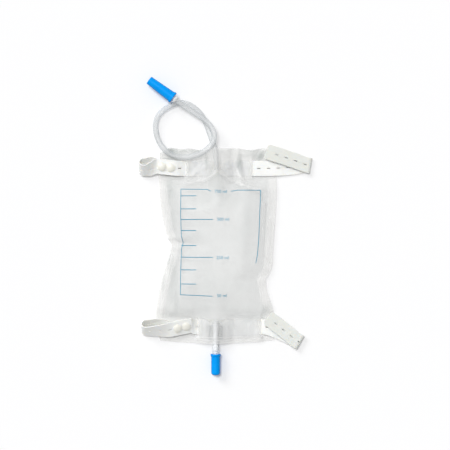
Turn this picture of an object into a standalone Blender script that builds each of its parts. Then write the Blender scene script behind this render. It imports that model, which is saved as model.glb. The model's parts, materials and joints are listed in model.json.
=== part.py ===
# Urine leg bag of 750 ml, lying on its back, with inlet hose, outlet port, caps and two leg straps.
# Metres. +X to the right, +Y towards the inlet, +Z up. The flat of the back film lies on Z = 0.
import math

import bmesh
import bpy
import numpy as np
from mathutils import Matrix, Vector

# Clearances
GAP = 0.0003  # between pieces that touch, or slide in each other
LAYER_GAP = 0.0008  # between two layers of a strap, and between strap and film

# Bag films
FILM = 0.0004
BAG_WIDTH = 0.1520
BAG_LENGTH = 0.2390
BAG_TOP = 0.1205
BAG_BOTTOM = BAG_TOP - BAG_LENGTH
LEFT_SIDE = -BAG_WIDTH / 2
RIGHT_SIDE = BAG_WIDTH / 2
TOP_FLANGE = 0.0365  # film above the chamber, where the upper strap passes
BOTTOM_FLANGE = 0.0275
CHAMBER_TOP = BAG_TOP - TOP_FLANGE
CHAMBER_BOTTOM = BAG_BOTTOM + BOTTOM_FLANGE
CHAMBER_DEPTH = 0.0205
SIDE_FLANGE = 0.0110
SIDE_WELD_HEIGHT = 0.0055
FUNNEL = 0.0060  # how far the chamber reaches towards each port
END_SOFT = 0.0140  # length over which the chamber's ends come down to their welds
BOTTOM_SAG = 0.0045  # bow of the bottom edge round the port
CORNER_DROP = 0.0060  # how far the top left corner hangs below the top edge
PINCH_SHARE = 0.4980  # places down the sides are shares of the bag's length
KINK_SHARE = 0.6820
LEFT_EDGE = (  # (share down, inset from the side), with its pinch
    (0.0000, 0.0060), (0.1276, 0.0045), (0.2699, 0.0062), (0.4017, 0.0115), (0.4750, 0.0165),
    (PINCH_SHARE, 0.0198), (0.5293, 0.0195), (0.5879, 0.0158), (0.6715, 0.0098), (0.7762, 0.0040),
    (0.8891, 0.0010), (1.0000, 0.0060),
)
RIGHT_EDGE = (  # the same for the right side, with its kink
    (0.0000, 0.0070), (0.1025, 0.0010), (0.2113, 0.0002), (0.3787, 0.0024), (0.5251, 0.0050),
    (0.6213, 0.0068), (0.6548, 0.0098), (KINK_SHARE, 0.0138), (0.7218, 0.0130), (0.8389, 0.0050),
    (1.0000, 0.0030),
)
PINCH_Y = BAG_TOP - PINCH_SHARE * BAG_LENGTH
KINK_Y = BAG_TOP - KINK_SHARE * BAG_LENGTH

# Straps, their slits in the film and their slots
STRAP_WIDTH = 0.0190
STRAP_THICKNESS = 0.0013
STRAP_CORNER = 0.0035
SLOT_LENGTH = 0.0045
SLOT_WIDTH = 0.0012
SLOT_PITCH = 0.0124
UPPER_STRAP_Y = CHAMBER_TOP + 0.0116
LOWER_STRAP_Y = CHAMBER_BOTTOM - 0.0110
UPPER_SLITS = (LEFT_SIDE + 0.0372, RIGHT_SIDE - 0.0291)
LOWER_SLITS = (LEFT_SIDE + 0.0520, RIGHT_SIDE - 0.0185)
SLIT_WIDTH = 0.0030
SLIT_END = 0.0010
STRAP_FLOOR_GAP = 0.0001
STRAP_SINK = 0.0140  # inwards from a slit to where the strap lies flat under the films
TWIST_WEIGHT = 2.4  # how much closer a twist sets the strap's cross lines than a bend
STRAP_CELL = 0.0140  # longest stretch between two cross lines
STRAP_CELL_TURN = math.radians(16)

# Strap routes past the slits, in millimetres: x from the side of the bag, y from the strap's line, z.
# Each right end folds back under itself, and each left end loops back under itself to its studs.
UPPER_TAIL_MM = ((-13.5, 21.2, 8.4), (5.3, 15.2, 7.0), (24.0, 9.1, 5.4))
UPPER_FOLD_MM = (40.2, 3.8, 4.7)
UPPER_FOLD_RADIUS_MM = 1.85
UPPER_RETURN_MM = ((24.0, 2.0, 1.0), (14.0, 1.0, 1.2))
UPPER_LEVEL_MM = ((3.0, 0.4), (-14.0, 0.0))  # x and y of stations at the slits' height
UPPER_PANEL_MM = (19.6, 0.9, 6.0)  # first stud
UPPER_RISE_MM = (31.6, 0.1, 4.1)
UPPER_REACH_MM = (-4.5, -0.4, 8.8)
UPPER_LOOP_MM = (-15.0, -2.6, 11.6)
UPPER_LOOP_RADIUS_MM = 4.3
UPPER_LOOP_SHIFT_MM = 3.5
UPPER_UNDER_MM = (-4.5, 5.4, 6.4)
UPPER_SLANT = (0.317, 0.948, 0.0)
UPPER_CREASE = (0.161, 0.987, 0.0)
LOWER_TAIL_MM = ((-11.8, 12.0, 8.6), (1.0, 2.0, 7.4), (14.0, -8.2, 6.6))
LOWER_FOLD_MM = (27.0, -18.4, 6.2)
LOWER_FOLD_RADIUS_MM = 2.4
LOWER_RETURN_MM = (12.0, -10.8, 1.5)
LOWER_LEVEL_MM = ((-2.0, -4.0), (-11.0, -1.0))
LOWER_PANEL_MM = (39.1, 0.6, 7.2)
LOWER_RISE_MM = (47.2, 0.5, 4.4)
LOWER_REACH_MM = ((12.0, -4.2, 9.9), (0.0, -4.8, 10.9))
LOWER_LOOP_MM = (-12.2, -5.2, 11.4)
LOWER_LOOP_RADIUS_MM = 4.0
LOWER_LOOP_SHIFT_MM = 4.5
LOWER_UNDER_MM = ((0.0, 4.0, 9.4), (12.0, 1.8, 7.9))
LOWER_SLANT = (0.611, 0.791, 0.0)
LOWER_CREASE = (0.499, 0.867, 0.0)

# Stud buttons
STUD_HEAD_RADIUS = 0.0054
STUD_HEAD_HEIGHT = 0.0022
STUD_BASE_RADIUS = 0.0040
STUD_BASE_HEIGHT = 0.0010
STUD_STEM_RADIUS = 0.0016
STUD_PITCH = 0.0112
STUD_GAP = 0.0004  # under each head and over each base

# Inlet hose, valve, connector and cap
HOSE_DIAMETER = 0.0066
HOSE_PITCH = 0.0125
VALVE_FILM = 0.0003
VALVE_WIDTH = 0.0200
VALVE_LENGTH = 0.0300
VALVE_LAP = 0.0060
CONNECTOR_BORE_RADIUS = 0.0018
CONNECTOR_COLLAR_RADIUS = 0.0043
CONNECTOR_RING_RADIUS = 0.0050
CONNECTOR_NECK_LENGTH = 0.0040
CONNECTOR_STEPS = ((0.0084, 0.0042), (0.0082, 0.0037), (0.0082, 0.0032))  # (length, radius) of each cone
INLET_CAP_LENGTH = 0.0374
INLET_CAP_MOUTH_RADIUS = 0.0074
INLET_CAP_BODY_RADIUS = 0.0065
INLET_CAP_TIP_RADIUS = 0.0053
INLET_CAP_RIM = 0.0024
INLET_CAP_END = 0.0045

# Outlet port, inner tube and cap
PORT_RADIUS = 0.0042
PORT_BORE_RADIUS = 0.0034
PORT_TOP = BAG_BOTTOM + 0.0220
PORT_LENGTH = 0.0540
PORT_RIB_HEIGHT = 0.0004
PORT_RIB_PITCH = 0.0022
PORT_RIBS = 4
LADDER_REACH = 0.0090
LADDER_TOP = PORT_TOP - 0.0030
LADDER_PITCH = 0.0032
LADDER_RUNGS = 6
LADDER_BAR = 0.0011
LADDER_SLANT = math.radians(22)
OUTLET_TUBE_BORE_RADIUS = 0.0020
OUTLET_TUBE_LENGTH = 0.0345
OUTLET_CAP_TOP = PORT_TOP - 0.0393
OUTLET_CAP_LENGTH = 0.0264
OUTLET_CAP_RADIUS = 0.0055
OUTLET_CAP_RIM_RADIUS = 0.0063
OUTLET_CAP_RIM = 0.0024
OUTLET_CAP_END = 0.0030
PORT_X = -0.0004

# Heights that follow from the sizes above
HOSE_RADIUS = HOSE_DIAMETER / 2
STRAP_LOW = STRAP_FLOOR_GAP + STRAP_THICKNESS / 2  # strap centre under the films
STRAP_HIGH = 2 * FILM + GAP + LAYER_GAP / 2 + STRAP_THICKNESS / 2  # strap centre on the films
WELD_LOW = FILM + GAP / 2  # middle of the weld where the film lies on the floor
OVER_STRAP = STRAP_THICKNESS / 2 + LAYER_GAP / 2 + FILM + GAP / 2
SLEEVE_RADIUS = max(HOSE_RADIUS + VALVE_FILM + 2 * GAP, PORT_RADIUS + GAP) + 0.0005
SLEEVE_WIDTH = SLEEVE_RADIUS + 0.0070
PORT_HEIGHT = STRAP_LOW + OVER_STRAP + SLEEVE_RADIUS
PIN_AXIS_HEIGHT = 0.0105  # inlet connector, held up by the hose that passes below it

# Columns of the film beside a port, from its middle
SLEEVE_COLUMNS = (0.0042, 0.0085)

# Hose route: (x, y, z) in millimetres, from inside the bag round to the connector
HOSE_ROUTE_MM = (
    (0.5, 93.4, 7.3), (0.0, 106.0, 7.3), (-1.2, 118.5, 7.3), (-3.9, 127.5, 6.9), (-7.0, 136.5, 5.6),
    (-10.4, 146.5, 4.2), (-15.0, 157.0, 3.5), (-24.5, 169.3, 3.4), (-34.8, 175.9, 3.4),
    (-46.1, 177.4, 3.4), (-57.6, 173.4, 3.4), (-67.2, 166.9, 3.4), (-73.0, 159.6, 3.4),
    (-75.3, 151.0, 3.4), (-74.5, 139.3, 3.4), (-71.4, 129.6, 3.7), (-65.5, 120.8, 4.9),
    (-56.5, 113.3, 5.4), (-46.0, 109.8, 6.4), (-34.5, 109.6, 8.4), (-23.0, 112.6, 9.8),
    (-12.0, 118.6, 13.4), (-5.6, 125.0, 15.0), (-2.4, 132.0, 14.8), (-2.4, 138.4, 14.0),
    (-5.0, 145.0, 12.6), (-9.2, 151.0, 11.4), (-15.0, 156.6, 10.8), (-22.1, 161.7, 10.5),
)
PIN_TURN = math.radians(143.7)  # heading of the connector and its cap, in the floor plane
PIN_START = (-0.0495, 0.1804)  # where the hose ends
MM = 0.001

COLOURS = {  # base colour, roughness, alpha
    "film": ((0.80, 0.84, 0.83), 0.35, 0.55),
    "valve_film": ((0.86, 0.89, 0.90), 0.35, 0.60),
    "strap_rubber": ((0.87, 0.88, 0.84), 0.55, 1.0),
    "stud_plastic": ((0.90, 0.89, 0.82), 0.35, 1.0),
    "clear_hose": ((0.74, 0.79, 0.80), 0.20, 0.60),
    "clear_plastic": ((0.85, 0.89, 0.90), 0.25, 0.75),
    "blue_plastic": ((0.00, 0.26, 0.85), 0.32, 1.0),
}


def clear_scene():
    for obj in list(bpy.data.objects):
        bpy.data.objects.remove(obj)
    for collection in list(bpy.data.collections):
        bpy.data.collections.remove(collection)


def make_collection(name):
    collection = bpy.data.collections.new(name)
    bpy.context.scene.collection.children.link(collection)
    return collection


def make_material(name):
    colour, roughness, alpha = COLOURS[name]
    material = bpy.data.materials.new(name)
    material.use_nodes = True
    shader = material.node_tree.nodes["Principled BSDF"]
    shader.inputs["Base Color"].default_value = (*colour, 1.0)
    shader.inputs["Roughness"].default_value = roughness
    shader.inputs["Metallic"].default_value = 0.0
    shader.inputs["Alpha"].default_value = alpha
    return material


clear_scene()
PARTS = make_collection("urine_leg_bag")
CUTTERS = make_collection("cutters")
MATERIALS = {name: make_material(name) for name in COLOURS}


def add_mesh(name, mesh, collection, material=None, matrix=None):
    obj = bpy.data.objects.new(name, mesh)
    collection.objects.link(obj)
    if matrix is not None:
        obj.matrix_world = matrix
    if material:
        mesh.materials.append(MATERIALS[material])
        mesh.shade_smooth()
        mesh.set_sharp_from_angle(angle=math.radians(40))
    else:
        obj.hide_render = True
        obj.display_type = "WIRE"
    return obj


def boolean(obj, other, operation):
    modifier = obj.modifiers.new(other.name, "BOOLEAN")
    modifier.operation = operation
    modifier.solver = "EXACT"
    modifier.object = other
    return modifier


def evaluated_mesh(obj):
    bpy.context.view_layer.update()
    graph = bpy.context.evaluated_depsgraph_get()
    return bpy.data.meshes.new_from_object(obj.evaluated_get(graph), depsgraph=graph)


def add_box(bm, size, matrix):
    made = bmesh.ops.create_cube(bm, size=1.0)["verts"]
    bmesh.ops.scale(bm, vec=size, verts=made)
    bmesh.ops.transform(bm, matrix=matrix, verts=made)


def boxes(name, places, collection=None):
    """One cutter mesh of separate boxes, from (size, matrix) pairs."""
    bm = bmesh.new()
    for size, matrix in places:
        add_box(bm, size, matrix)
    mesh = bpy.data.meshes.new(name)
    bm.to_mesh(mesh)
    bm.free()
    return add_mesh(name, mesh, collection or CUTTERS)


def turned(name, profile, steps, collection, material=None, matrix=None, closed=False):
    """A turned piece about local Z. The profile of (radius, z) runs down its outer side."""
    mesh = bpy.data.meshes.new(name)
    points = [(radius, 0.0, z) for radius, z in profile]
    edges = [(i, i + 1) for i in range(len(points) - 1)]
    if closed:
        edges.append((len(points) - 1, 0))
    mesh.from_pydata(points, edges, [])
    obj = add_mesh(name, mesh, collection, material, matrix)
    screw = obj.modifiers.new("turn", "SCREW")
    screw.axis = "Z"
    screw.steps = steps
    screw.render_steps = steps
    screw.use_merge_vertices = True
    screw.merge_threshold = 0.00001
    screw.use_smooth_shade = True
    return obj


def along(direction, origin):
    """Matrix that turns local Z to a direction and moves it to a point."""
    turn = Vector(direction).to_track_quat("Z", "Y").to_matrix().to_4x4()
    return Matrix.Translation(Vector(origin)) @ turn


def smoothstep(value, low, high):
    share = np.clip((value - low) / (high - low), 0.0, 1.0)
    return share * share * (3 - 2 * share)


def smooth_curve(points, spacing):
    """Even points along a smooth curve through the given ones. Columns past x, y, z ride along."""
    points = np.array(points, float)
    knots = np.concatenate([[0], np.cumsum(np.linalg.norm(np.diff(points[:, :3], axis=0), axis=1))])
    slopes = np.gradient(points, knots, axis=0)
    fine = np.linspace(0, knots[-1], 1500)
    cell = np.clip(np.searchsorted(knots, fine, side="right") - 1, 0, len(points) - 2)
    span = knots[cell + 1] - knots[cell]
    t = ((fine - knots[cell]) / span)[:, None]
    span = span[:, None]
    curve = (
        (2 * t**3 - 3 * t**2 + 1) * points[cell]
        + (t**3 - 2 * t**2 + t) * span * slopes[cell]
        + (3 * t**2 - 2 * t**3) * points[cell + 1]
        + (t**3 - t**2) * span * slopes[cell + 1]
    )
    lengths = np.concatenate([[0], np.cumsum(np.linalg.norm(np.diff(curve[:, :3], axis=0), axis=1))])
    count = max(2, round(lengths[-1] / spacing) + 1)
    even = np.linspace(0, lengths[-1], count)
    return np.stack([np.interp(even, lengths, column) for column in curve.T], axis=1), lengths[-1]


# Bag: outline, welds and heights
def edge_x(edge, y):
    side, inward = (LEFT_SIDE, 1) if edge is LEFT_EDGE else (RIGHT_SIDE, -1)
    table = [(BAG_TOP - share * BAG_LENGTH, side + inward * inset, 0.0) for share, inset in edge[::-1]]
    fine, _ = smooth_curve(table, 0.002)
    return np.interp(y, fine[:, 0], fine[:, 1])


def slit_x(side, y):
    share = np.clip((y - CHAMBER_BOTTOM) / (CHAMBER_TOP - CHAMBER_BOTTOM), 0, 1)
    return LOWER_SLITS[side] + (UPPER_SLITS[side] - LOWER_SLITS[side]) * share


def hose_x(y):
    """X of the sleeve's middle: the hose at the top, the port at the bottom."""
    route = np.array(HOSE_ROUTE_MM)[:3] * MM
    upper = np.interp(y, route[:, 1], route[:, 0])
    share = np.clip((y - CHAMBER_BOTTOM) / (CHAMBER_TOP - CHAMBER_BOTTOM), 0, 1)
    return PORT_X * (1 - share) + upper * share


def sleeve(offset, radius, width):
    """Height of a film stretched over a round port, at an offset from the port's middle."""
    offset = abs(offset)
    angle = math.acos(radius / width)
    touch = radius * math.cos(angle)
    if offset < touch:
        return math.sqrt(radius * radius - offset * offset)
    if offset > width:
        return 0.0
    return radius * math.sin(angle) * (width - offset) / (width - touch)


def strap_height(x, y):
    """Height of the strap's centre where it passes through the slits and under the films."""
    inner = 0.012
    inside = min(x - slit_x(0, y), slit_x(1, y) - x)
    return STRAP_HIGH + (STRAP_LOW - STRAP_HIGH) * float(smoothstep(inside, 0.0, inner))


def weld_height(x, y):
    """Height of the middle between the two films where they are welded."""
    strap_y = UPPER_STRAP_Y if y > 0 else LOWER_STRAP_Y
    beside = max(abs(y - strap_y) - STRAP_WIDTH / 2 - SLIT_END, 0.0)
    soft = SLIT_WIDTH / 2 + 0.6 * beside
    raised = float(
        smoothstep(x - slit_x(0, y), -soft, soft) * smoothstep(slit_x(1, y) - x, -soft, soft)
    )
    high = strap_height(x, y) + OVER_STRAP
    flange = WELD_LOW + (high - WELD_LOW) * raised
    near = float(smoothstep(abs(x - hose_x(y)), SLEEVE_WIDTH - 0.002, SLEEVE_WIDTH + 0.012))
    flange = PORT_HEIGHT + (flange - PORT_HEIGHT) * near
    left = edge_x(LEFT_EDGE, y)
    right = edge_x(RIGHT_EDGE, y)
    droop = 0.0015 * float(1 - smoothstep(min(x - left, right - x), 0.0, SIDE_FLANGE))
    side = SIDE_WELD_HEIGHT - droop
    share = float(
        smoothstep(y, CHAMBER_BOTTOM, CHAMBER_BOTTOM + END_SOFT)
        * (1 - smoothstep(y, CHAMBER_TOP - END_SOFT, CHAMBER_TOP))
    )
    return flange + (side - flange) * share


def chamber_share(x, y, shoulder, end_shoulder, reach=0.0):
    """0 at the chamber's welds, rising to 1 a shoulder's width inside them. It reaches into the ports."""
    funnel = math.exp(-(((x - hose_x(y)) / 0.011) ** 2)) * reach
    inside = (
        (x - edge_x(LEFT_EDGE, y) - SIDE_FLANGE, shoulder),
        (edge_x(RIGHT_EDGE, y) - SIDE_FLANGE - x, shoulder),
        (CHAMBER_TOP + funnel - y, end_shoulder),
        (y - CHAMBER_BOTTOM + funnel, end_shoulder),
    )
    share = 1.0
    for distance, width in inside:
        share *= math.sin(math.pi / 2 * min(max(distance / width, 0.0), 1.0))
    return share


def front_height(x, y):
    base = weld_height(x, y) + GAP / 2 + end_sleeve(x, y)
    share = chamber_share(x, y, 0.032, 0.046, FUNNEL)
    left = x - edge_x(LEFT_EDGE, y)
    right = edge_x(RIGHT_EDGE, y) - x
    pinch = 0.55 * math.exp(-(((y - PINCH_Y - 0.02 * left) / 0.008) ** 2) - (left / 0.030) ** 2)
    kink = 0.35 * math.exp(-(((y - KINK_Y + 0.10 * right) / 0.012) ** 2) - (right / 0.026) ** 2)
    top = FILM + CHAMBER_DEPTH
    return base + max(top - base, 0.0) * share * (1 - pinch) * (1 - kink)


def back_height(x, y):
    base = max(weld_height(x, y) - GAP / 2 - end_sleeve(x, y), FILM)
    return base + (FILM - base) * chamber_share(x, y, 0.013, 0.022)


def end_sleeve(x, y):
    return sleeve(x - hose_x(y), SLEEVE_RADIUS, SLEEVE_WIDTH)


def film_columns(y):
    """X of each column of the film's grid at one height y."""
    left = edge_x(LEFT_EDGE, y)
    right = edge_x(RIGHT_EDGE, y)
    middle = hose_x(y)
    half = SLIT_WIDTH / 2
    near, far = SLEEVE_COLUMNS
    anchors = (
        left, left + SIDE_FLANGE, slit_x(0, y) - half, slit_x(0, y) + half, middle - far, middle - near,
        middle, middle + near, middle + far, slit_x(1, y) - half, slit_x(1, y) + half,
        right - min(SIDE_FLANGE, 0.85 * (right - slit_x(1, y) - half)), right,
    )
    cells = (1, 3, 1, 2, 1, 1, 1, 1, 4, 1, 1, 1)
    columns = [anchors[0]]
    for start, end, count in zip(anchors, anchors[1:], cells):
        columns += [start + (end - start) * (i + 1) / count for i in range(count)]
    return columns


def film_rows():
    reach = STRAP_WIDTH / 2 + SLIT_END
    anchors = (
        BAG_BOTTOM, LOWER_STRAP_Y - reach, LOWER_STRAP_Y + reach, CHAMBER_BOTTOM + END_SOFT,
        CHAMBER_TOP - END_SOFT, UPPER_STRAP_Y - reach, UPPER_STRAP_Y + reach, BAG_TOP,
    )
    cells = (2, 3, 2, 13, 2, 3, 2)
    rows = [anchors[0]]
    for start, end, count in zip(anchors, anchors[1:], cells):
        rows += [start + (end - start) * (i + 1) / count for i in range(count)]
    return rows


def film(name, height, offset):
    """One welded sheet: a grid laid over the bag, made a film's thickness, with the strap slits cut."""
    rows = film_rows()
    columns = len(film_columns(0.0)) - 1
    bm = bmesh.new()
    bmesh.ops.create_grid(bm, x_segments=columns, y_segments=len(rows) - 1, size=0.5)
    for vert in bm.verts:
        i = round((vert.co.x + 0.5) * columns)
        j = round((vert.co.y + 0.5) * (len(rows) - 1))
        y = rows[j]
        x = film_columns(y)[i]
        down = max((CHAMBER_BOTTOM - y) / BOTTOM_FLANGE, 0.0)
        sag = BOTTOM_SAG * max(1 - (x / RIGHT_SIDE) ** 2, 0.0) * down
        up = float(smoothstep(y, UPPER_STRAP_Y + STRAP_WIDTH / 2 + SLIT_END, BAG_TOP))
        drop = CORNER_DROP * up * float(smoothstep(LEFT_SIDE * 0.72 - x, 0.0, 0.018))
        vert.co = (x, y - sag - drop, height(x, y))
    mesh = bpy.data.meshes.new(name)
    bm.to_mesh(mesh)
    bm.free()
    obj = add_mesh(name, mesh, PARTS, "film")
    obj.modifiers.new("diagonals", "TRIANGULATE")  # both faces of the film share their diagonals
    solidify = obj.modifiers.new("film", "SOLIDIFY")
    solidify.thickness = FILM
    solidify.offset = offset
    for cutter in SLIT_CUTTERS:
        boolean(obj, cutter, "DIFFERENCE")
    return obj


def slit_cutter(name, x, y):
    size = (SLIT_WIDTH, STRAP_WIDTH + 2 * SLIT_END, 0.030)
    return boxes(name, [(size, Matrix.Translation((x, y, 0.0)))])


SLIT_CUTTERS = [
    slit_cutter("slit_upper_left", UPPER_SLITS[0], UPPER_STRAP_Y),
    slit_cutter("slit_upper_right", UPPER_SLITS[1], UPPER_STRAP_Y),
    slit_cutter("slit_lower_left", LOWER_SLITS[0], LOWER_STRAP_Y),
    slit_cutter("slit_lower_right", LOWER_SLITS[1], LOWER_STRAP_Y),
]


# Non-return valve: two small films that close on each other below the hose
def valve_flap(name, side):
    top = HOSE_ROUTE_MM[0][1] * MM + VALVE_LAP
    half = VALVE_WIDTH / 2
    across = (-half, -SLEEVE_COLUMNS[1], -SLEEVE_COLUMNS[0], 0.0, *SLEEVE_COLUMNS, half)
    downs = 6
    bm = bmesh.new()
    bmesh.ops.create_grid(bm, x_segments=len(across) - 1, y_segments=downs, size=0.5)
    for vert in bm.verts:
        i = round((vert.co.x + 0.5) * (len(across) - 1))
        share = 0.5 - vert.co.y
        y = top - VALVE_LENGTH * share
        swell = 1 - float(smoothstep(share, VALVE_LAP / VALVE_LENGTH, 1.0))
        rise = GAP / 2 + swell * sleeve(across[i], HOSE_RADIUS + 2.2 * GAP, half)
        vert.co = (hose_x(y) + across[i], y, PORT_HEIGHT + side * rise)
    mesh = bpy.data.meshes.new(name)
    bm.to_mesh(mesh)
    bm.free()
    obj = add_mesh(name, mesh, PARTS, "valve_film")
    obj.modifiers.new("diagonals", "TRIANGULATE")
    solidify = obj.modifiers.new("film", "SOLIDIFY")
    solidify.thickness = VALVE_FILM
    solidify.offset = side
    return obj


# Straps: cut flat with their slots, then laid along their route
def strap_frames(stations):
    """Even samples of the route with tangent, width and normal directions."""
    path, length = smooth_curve(stations, 0.001)
    centre = path[:, :3]
    tangent = np.gradient(centre, axis=0)
    tangent /= np.linalg.norm(tangent, axis=1)[:, None]
    width = path[:, 3:6] / np.linalg.norm(path[:, 3:6], axis=1)[:, None]
    normal = np.cross(tangent, width)
    normal /= np.linalg.norm(normal, axis=1)[:, None]
    return np.linspace(0, length, len(path)), centre, tangent, width, normal


def flat_strap(name, length, cuts):
    bm = bmesh.new()
    add_box(bm, (length, STRAP_WIDTH, STRAP_THICKNESS), Matrix.Translation((length / 2, 0, 0)))
    corners = [edge for edge in bm.edges if abs(edge.verts[0].co.z - edge.verts[1].co.z) > 1e-6]
    bmesh.ops.bevel(bm, geom=corners, offset=STRAP_CORNER, segments=3, profile=0.5, affect="EDGES")
    for cut in cuts:
        geometry = bm.verts[:] + bm.edges[:] + bm.faces[:]
        bmesh.ops.bisect_plane(bm, geom=geometry, plane_co=(cut, 0, 0), plane_no=(1, 0, 0))
    mesh = bpy.data.meshes.new(name + "_flat")
    bm.to_mesh(mesh)
    bm.free()
    flat = add_mesh(name + "_flat", mesh, CUTTERS)
    count = int((length - 2 * STRAP_CORNER) / SLOT_PITCH)
    first = (length - (count - 1) * SLOT_PITCH) / 2
    size = (SLOT_LENGTH, SLOT_WIDTH, 4 * STRAP_THICKNESS)
    places = [(size, Matrix.Translation((first + i * SLOT_PITCH, 0, 0))) for i in range(count)]
    boolean(flat, boxes(name + "_slots", places), "DIFFERENCE")
    mesh = evaluated_mesh(flat)
    bm = bmesh.new()
    bm.from_mesh(mesh)
    bmesh.ops.triangulate(bm, faces=bm.faces)  # flat triangles stay flat when the strap is bent
    bm.to_mesh(mesh)
    bm.free()
    return mesh


def strap(name, stations, stud_places):
    steps, centre, tangent, width, normal = strap_frames(stations)
    cuts = []
    turned_by, since = 0.0, 0.0
    for i in range(1, len(steps)):
        turned_by += math.acos(min(1.0, float(tangent[i] @ tangent[i - 1])))
        turned_by += TWIST_WEIGHT * math.acos(min(1.0, float(width[i] @ width[i - 1])))
        since += steps[i] - steps[i - 1]
        due = turned_by > STRAP_CELL_TURN or since > STRAP_CELL
        if due and steps[-1] - steps[i] > STRAP_CORNER:
            cuts.append(float(steps[i]))
            turned_by, since = 0.0, 0.0
    mesh = flat_strap(name, float(steps[-1]), cuts)
    frames = np.concatenate([centre, width, normal], axis=1).T
    for vert in mesh.vertices:
        at = np.array([np.interp(vert.co.x, steps, column) for column in frames])
        vert.co = Vector(at[:3] + at[3:6] * vert.co.y + at[6:] * vert.co.z)
    obj = add_mesh(name, mesh, PARTS, "strap_rubber")
    for number, (point, direction) in enumerate(stud_places, 1):
        radius = STUD_STEM_RADIUS + GAP
        reach = 2 * STRAP_THICKNESS + LAYER_GAP
        profile = ((0.0, reach), (radius, reach), (radius, -2 * reach), (0.0, -2 * reach))
        hole = turned(f"{name}_hole_{number}", profile, 12, CUTTERS, matrix=along(direction, point))
        boolean(obj, hole, "DIFFERENCE")
    return obj


def stud(name, point, direction):
    """Button whose base lies under both strap layers and whose head lies on top."""
    top = STRAP_THICKNESS / 2 + STUD_GAP
    under = -1.5 * STRAP_THICKNESS - LAYER_GAP - STUD_GAP
    base = under - STUD_BASE_HEIGHT
    crown = top + STUD_HEAD_HEIGHT
    profile = (
        (0.0, crown), (0.6 * STUD_HEAD_RADIUS, crown - 0.0003), (STUD_HEAD_RADIUS, top + 0.0009),
        (STUD_HEAD_RADIUS, top), (STUD_STEM_RADIUS, top), (STUD_STEM_RADIUS, under),
        (STUD_BASE_RADIUS, under), (STUD_BASE_RADIUS, base), (0.0, base),
    )
    return turned(name, profile, 14, PARTS, "stud_plastic", along(direction, point))


def station(x, y, z, width=(0.0, 1.0, 0.0)):
    """A strap station from millimetres and a width direction."""
    return (x * MM, y * MM, z * MM, *Vector(width).normalized())


def placed(side, line, spot, width=(0.0, 1.0, 0.0)):
    """A station from its table entry, at one side of the bag and a strap's line, both in metres."""
    return station(side / MM + spot[0], line / MM + spot[1], spot[2], width)


def panel(first, heading):
    """The flat double stretch that holds two studs: stations on top, stations beneath, stud places."""
    along_strap, width = Vector(heading).normalized(), Vector(first[3:])
    up = along_strap.cross(width).normalized()
    up = up if up.z > 0 else -up
    drop = up * (STRAP_THICKNESS + LAYER_GAP)
    margin = STUD_HEAD_RADIUS + 0.0006
    pitch = STUD_PITCH
    steps = (-margin, -margin / 2, 0.0, pitch / 2, pitch, pitch + margin / 2, pitch + margin)
    tops = [Vector(first[:3]) + along_strap * step for step in steps]
    front = [(*place, *width) for place in tops]
    rear = [(*(place - drop), *width) for place in reversed(tops)]
    return front, rear, ((tops[4], up), (tops[2], up))


def tilted(degrees):
    """Width direction with its inlet side raised."""
    tilt = math.radians(degrees)
    return (0.0, math.cos(tilt), math.sin(tilt))


def loop(entry, side, radius, shift=0.0):
    """Stations round a half turn downwards, out to one side and back. Radius and shift are in millimetres."""
    steps = 6
    width = Vector(entry[3:])
    heading = width.cross(Vector((0.0, 0.0, side))).normalized()
    away = heading.cross(width)
    away = -away if away.z > 0 else away
    lead = 0.6
    turns = [heading * math.sin(math.pi * step / steps) + away * (1 - math.cos(math.pi * step / steps))
             for step in range(steps + 1)]
    turns = [-heading * lead, *turns, away * 2 - heading * lead]
    stations = []
    for number, move in enumerate(turns):
        slide = width * shift * min(max((number - 1) / steps, 0.0), 1.0)
        stations.append((*(Vector(entry[:3]) + (move * radius + slide) * MM), *width))
    return stations


def under_films(line, slits):
    """Stations from the right slit, flat under the films, to the left slit."""
    y, high, low, sink = (size / MM for size in (line, STRAP_HIGH, STRAP_LOW, STRAP_SINK))
    left, right = (slit / MM for slit in slits)
    half = (high + low) / 2
    flat = sink + 3
    return (
        station(right, y, high), station(right - sink / 2, y, half), station(right - sink, y, low),
        station(right - flat, y, low), station(0.0, y, low), station(left + flat, y, low),
        station(left + sink, y, low), station(left + sink / 2, y, half), station(left, y, high),
    )


def upper_strap():
    line = UPPER_STRAP_Y
    high = STRAP_HIGH / MM
    entry = placed(LEFT_SIDE, line, UPPER_PANEL_MM, tilted(4))
    bend = placed(LEFT_SIDE, line, UPPER_LOOP_MM, tilted(48))
    front, rear, places = panel(entry, (-11.2, 1.2, 0.2))
    stations = (
        *(placed(RIGHT_SIDE, line, spot, UPPER_SLANT) for spot in UPPER_TAIL_MM),
        *loop(placed(RIGHT_SIDE, line, UPPER_FOLD_MM, UPPER_CREASE), 1, UPPER_FOLD_RADIUS_MM),
        *(placed(RIGHT_SIDE, line, spot) for spot in UPPER_RETURN_MM),
        *(placed(RIGHT_SIDE, line, (*spot, high)) for spot in UPPER_LEVEL_MM),
        *under_films(line, UPPER_SLITS), placed(LEFT_SIDE, line, UPPER_RISE_MM, tilted(1)),
        *front, placed(LEFT_SIDE, line, UPPER_REACH_MM, tilted(26)),
        *loop(bend, -1, UPPER_LOOP_RADIUS_MM, UPPER_LOOP_SHIFT_MM),
        placed(LEFT_SIDE, line, UPPER_UNDER_MM, tilted(26)), *rear[:-1],
    )
    strap("upper_strap", stations, places)
    for number, (point, direction) in enumerate(places, 1):
        stud(f"upper_stud_{number}", point, direction)


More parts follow.
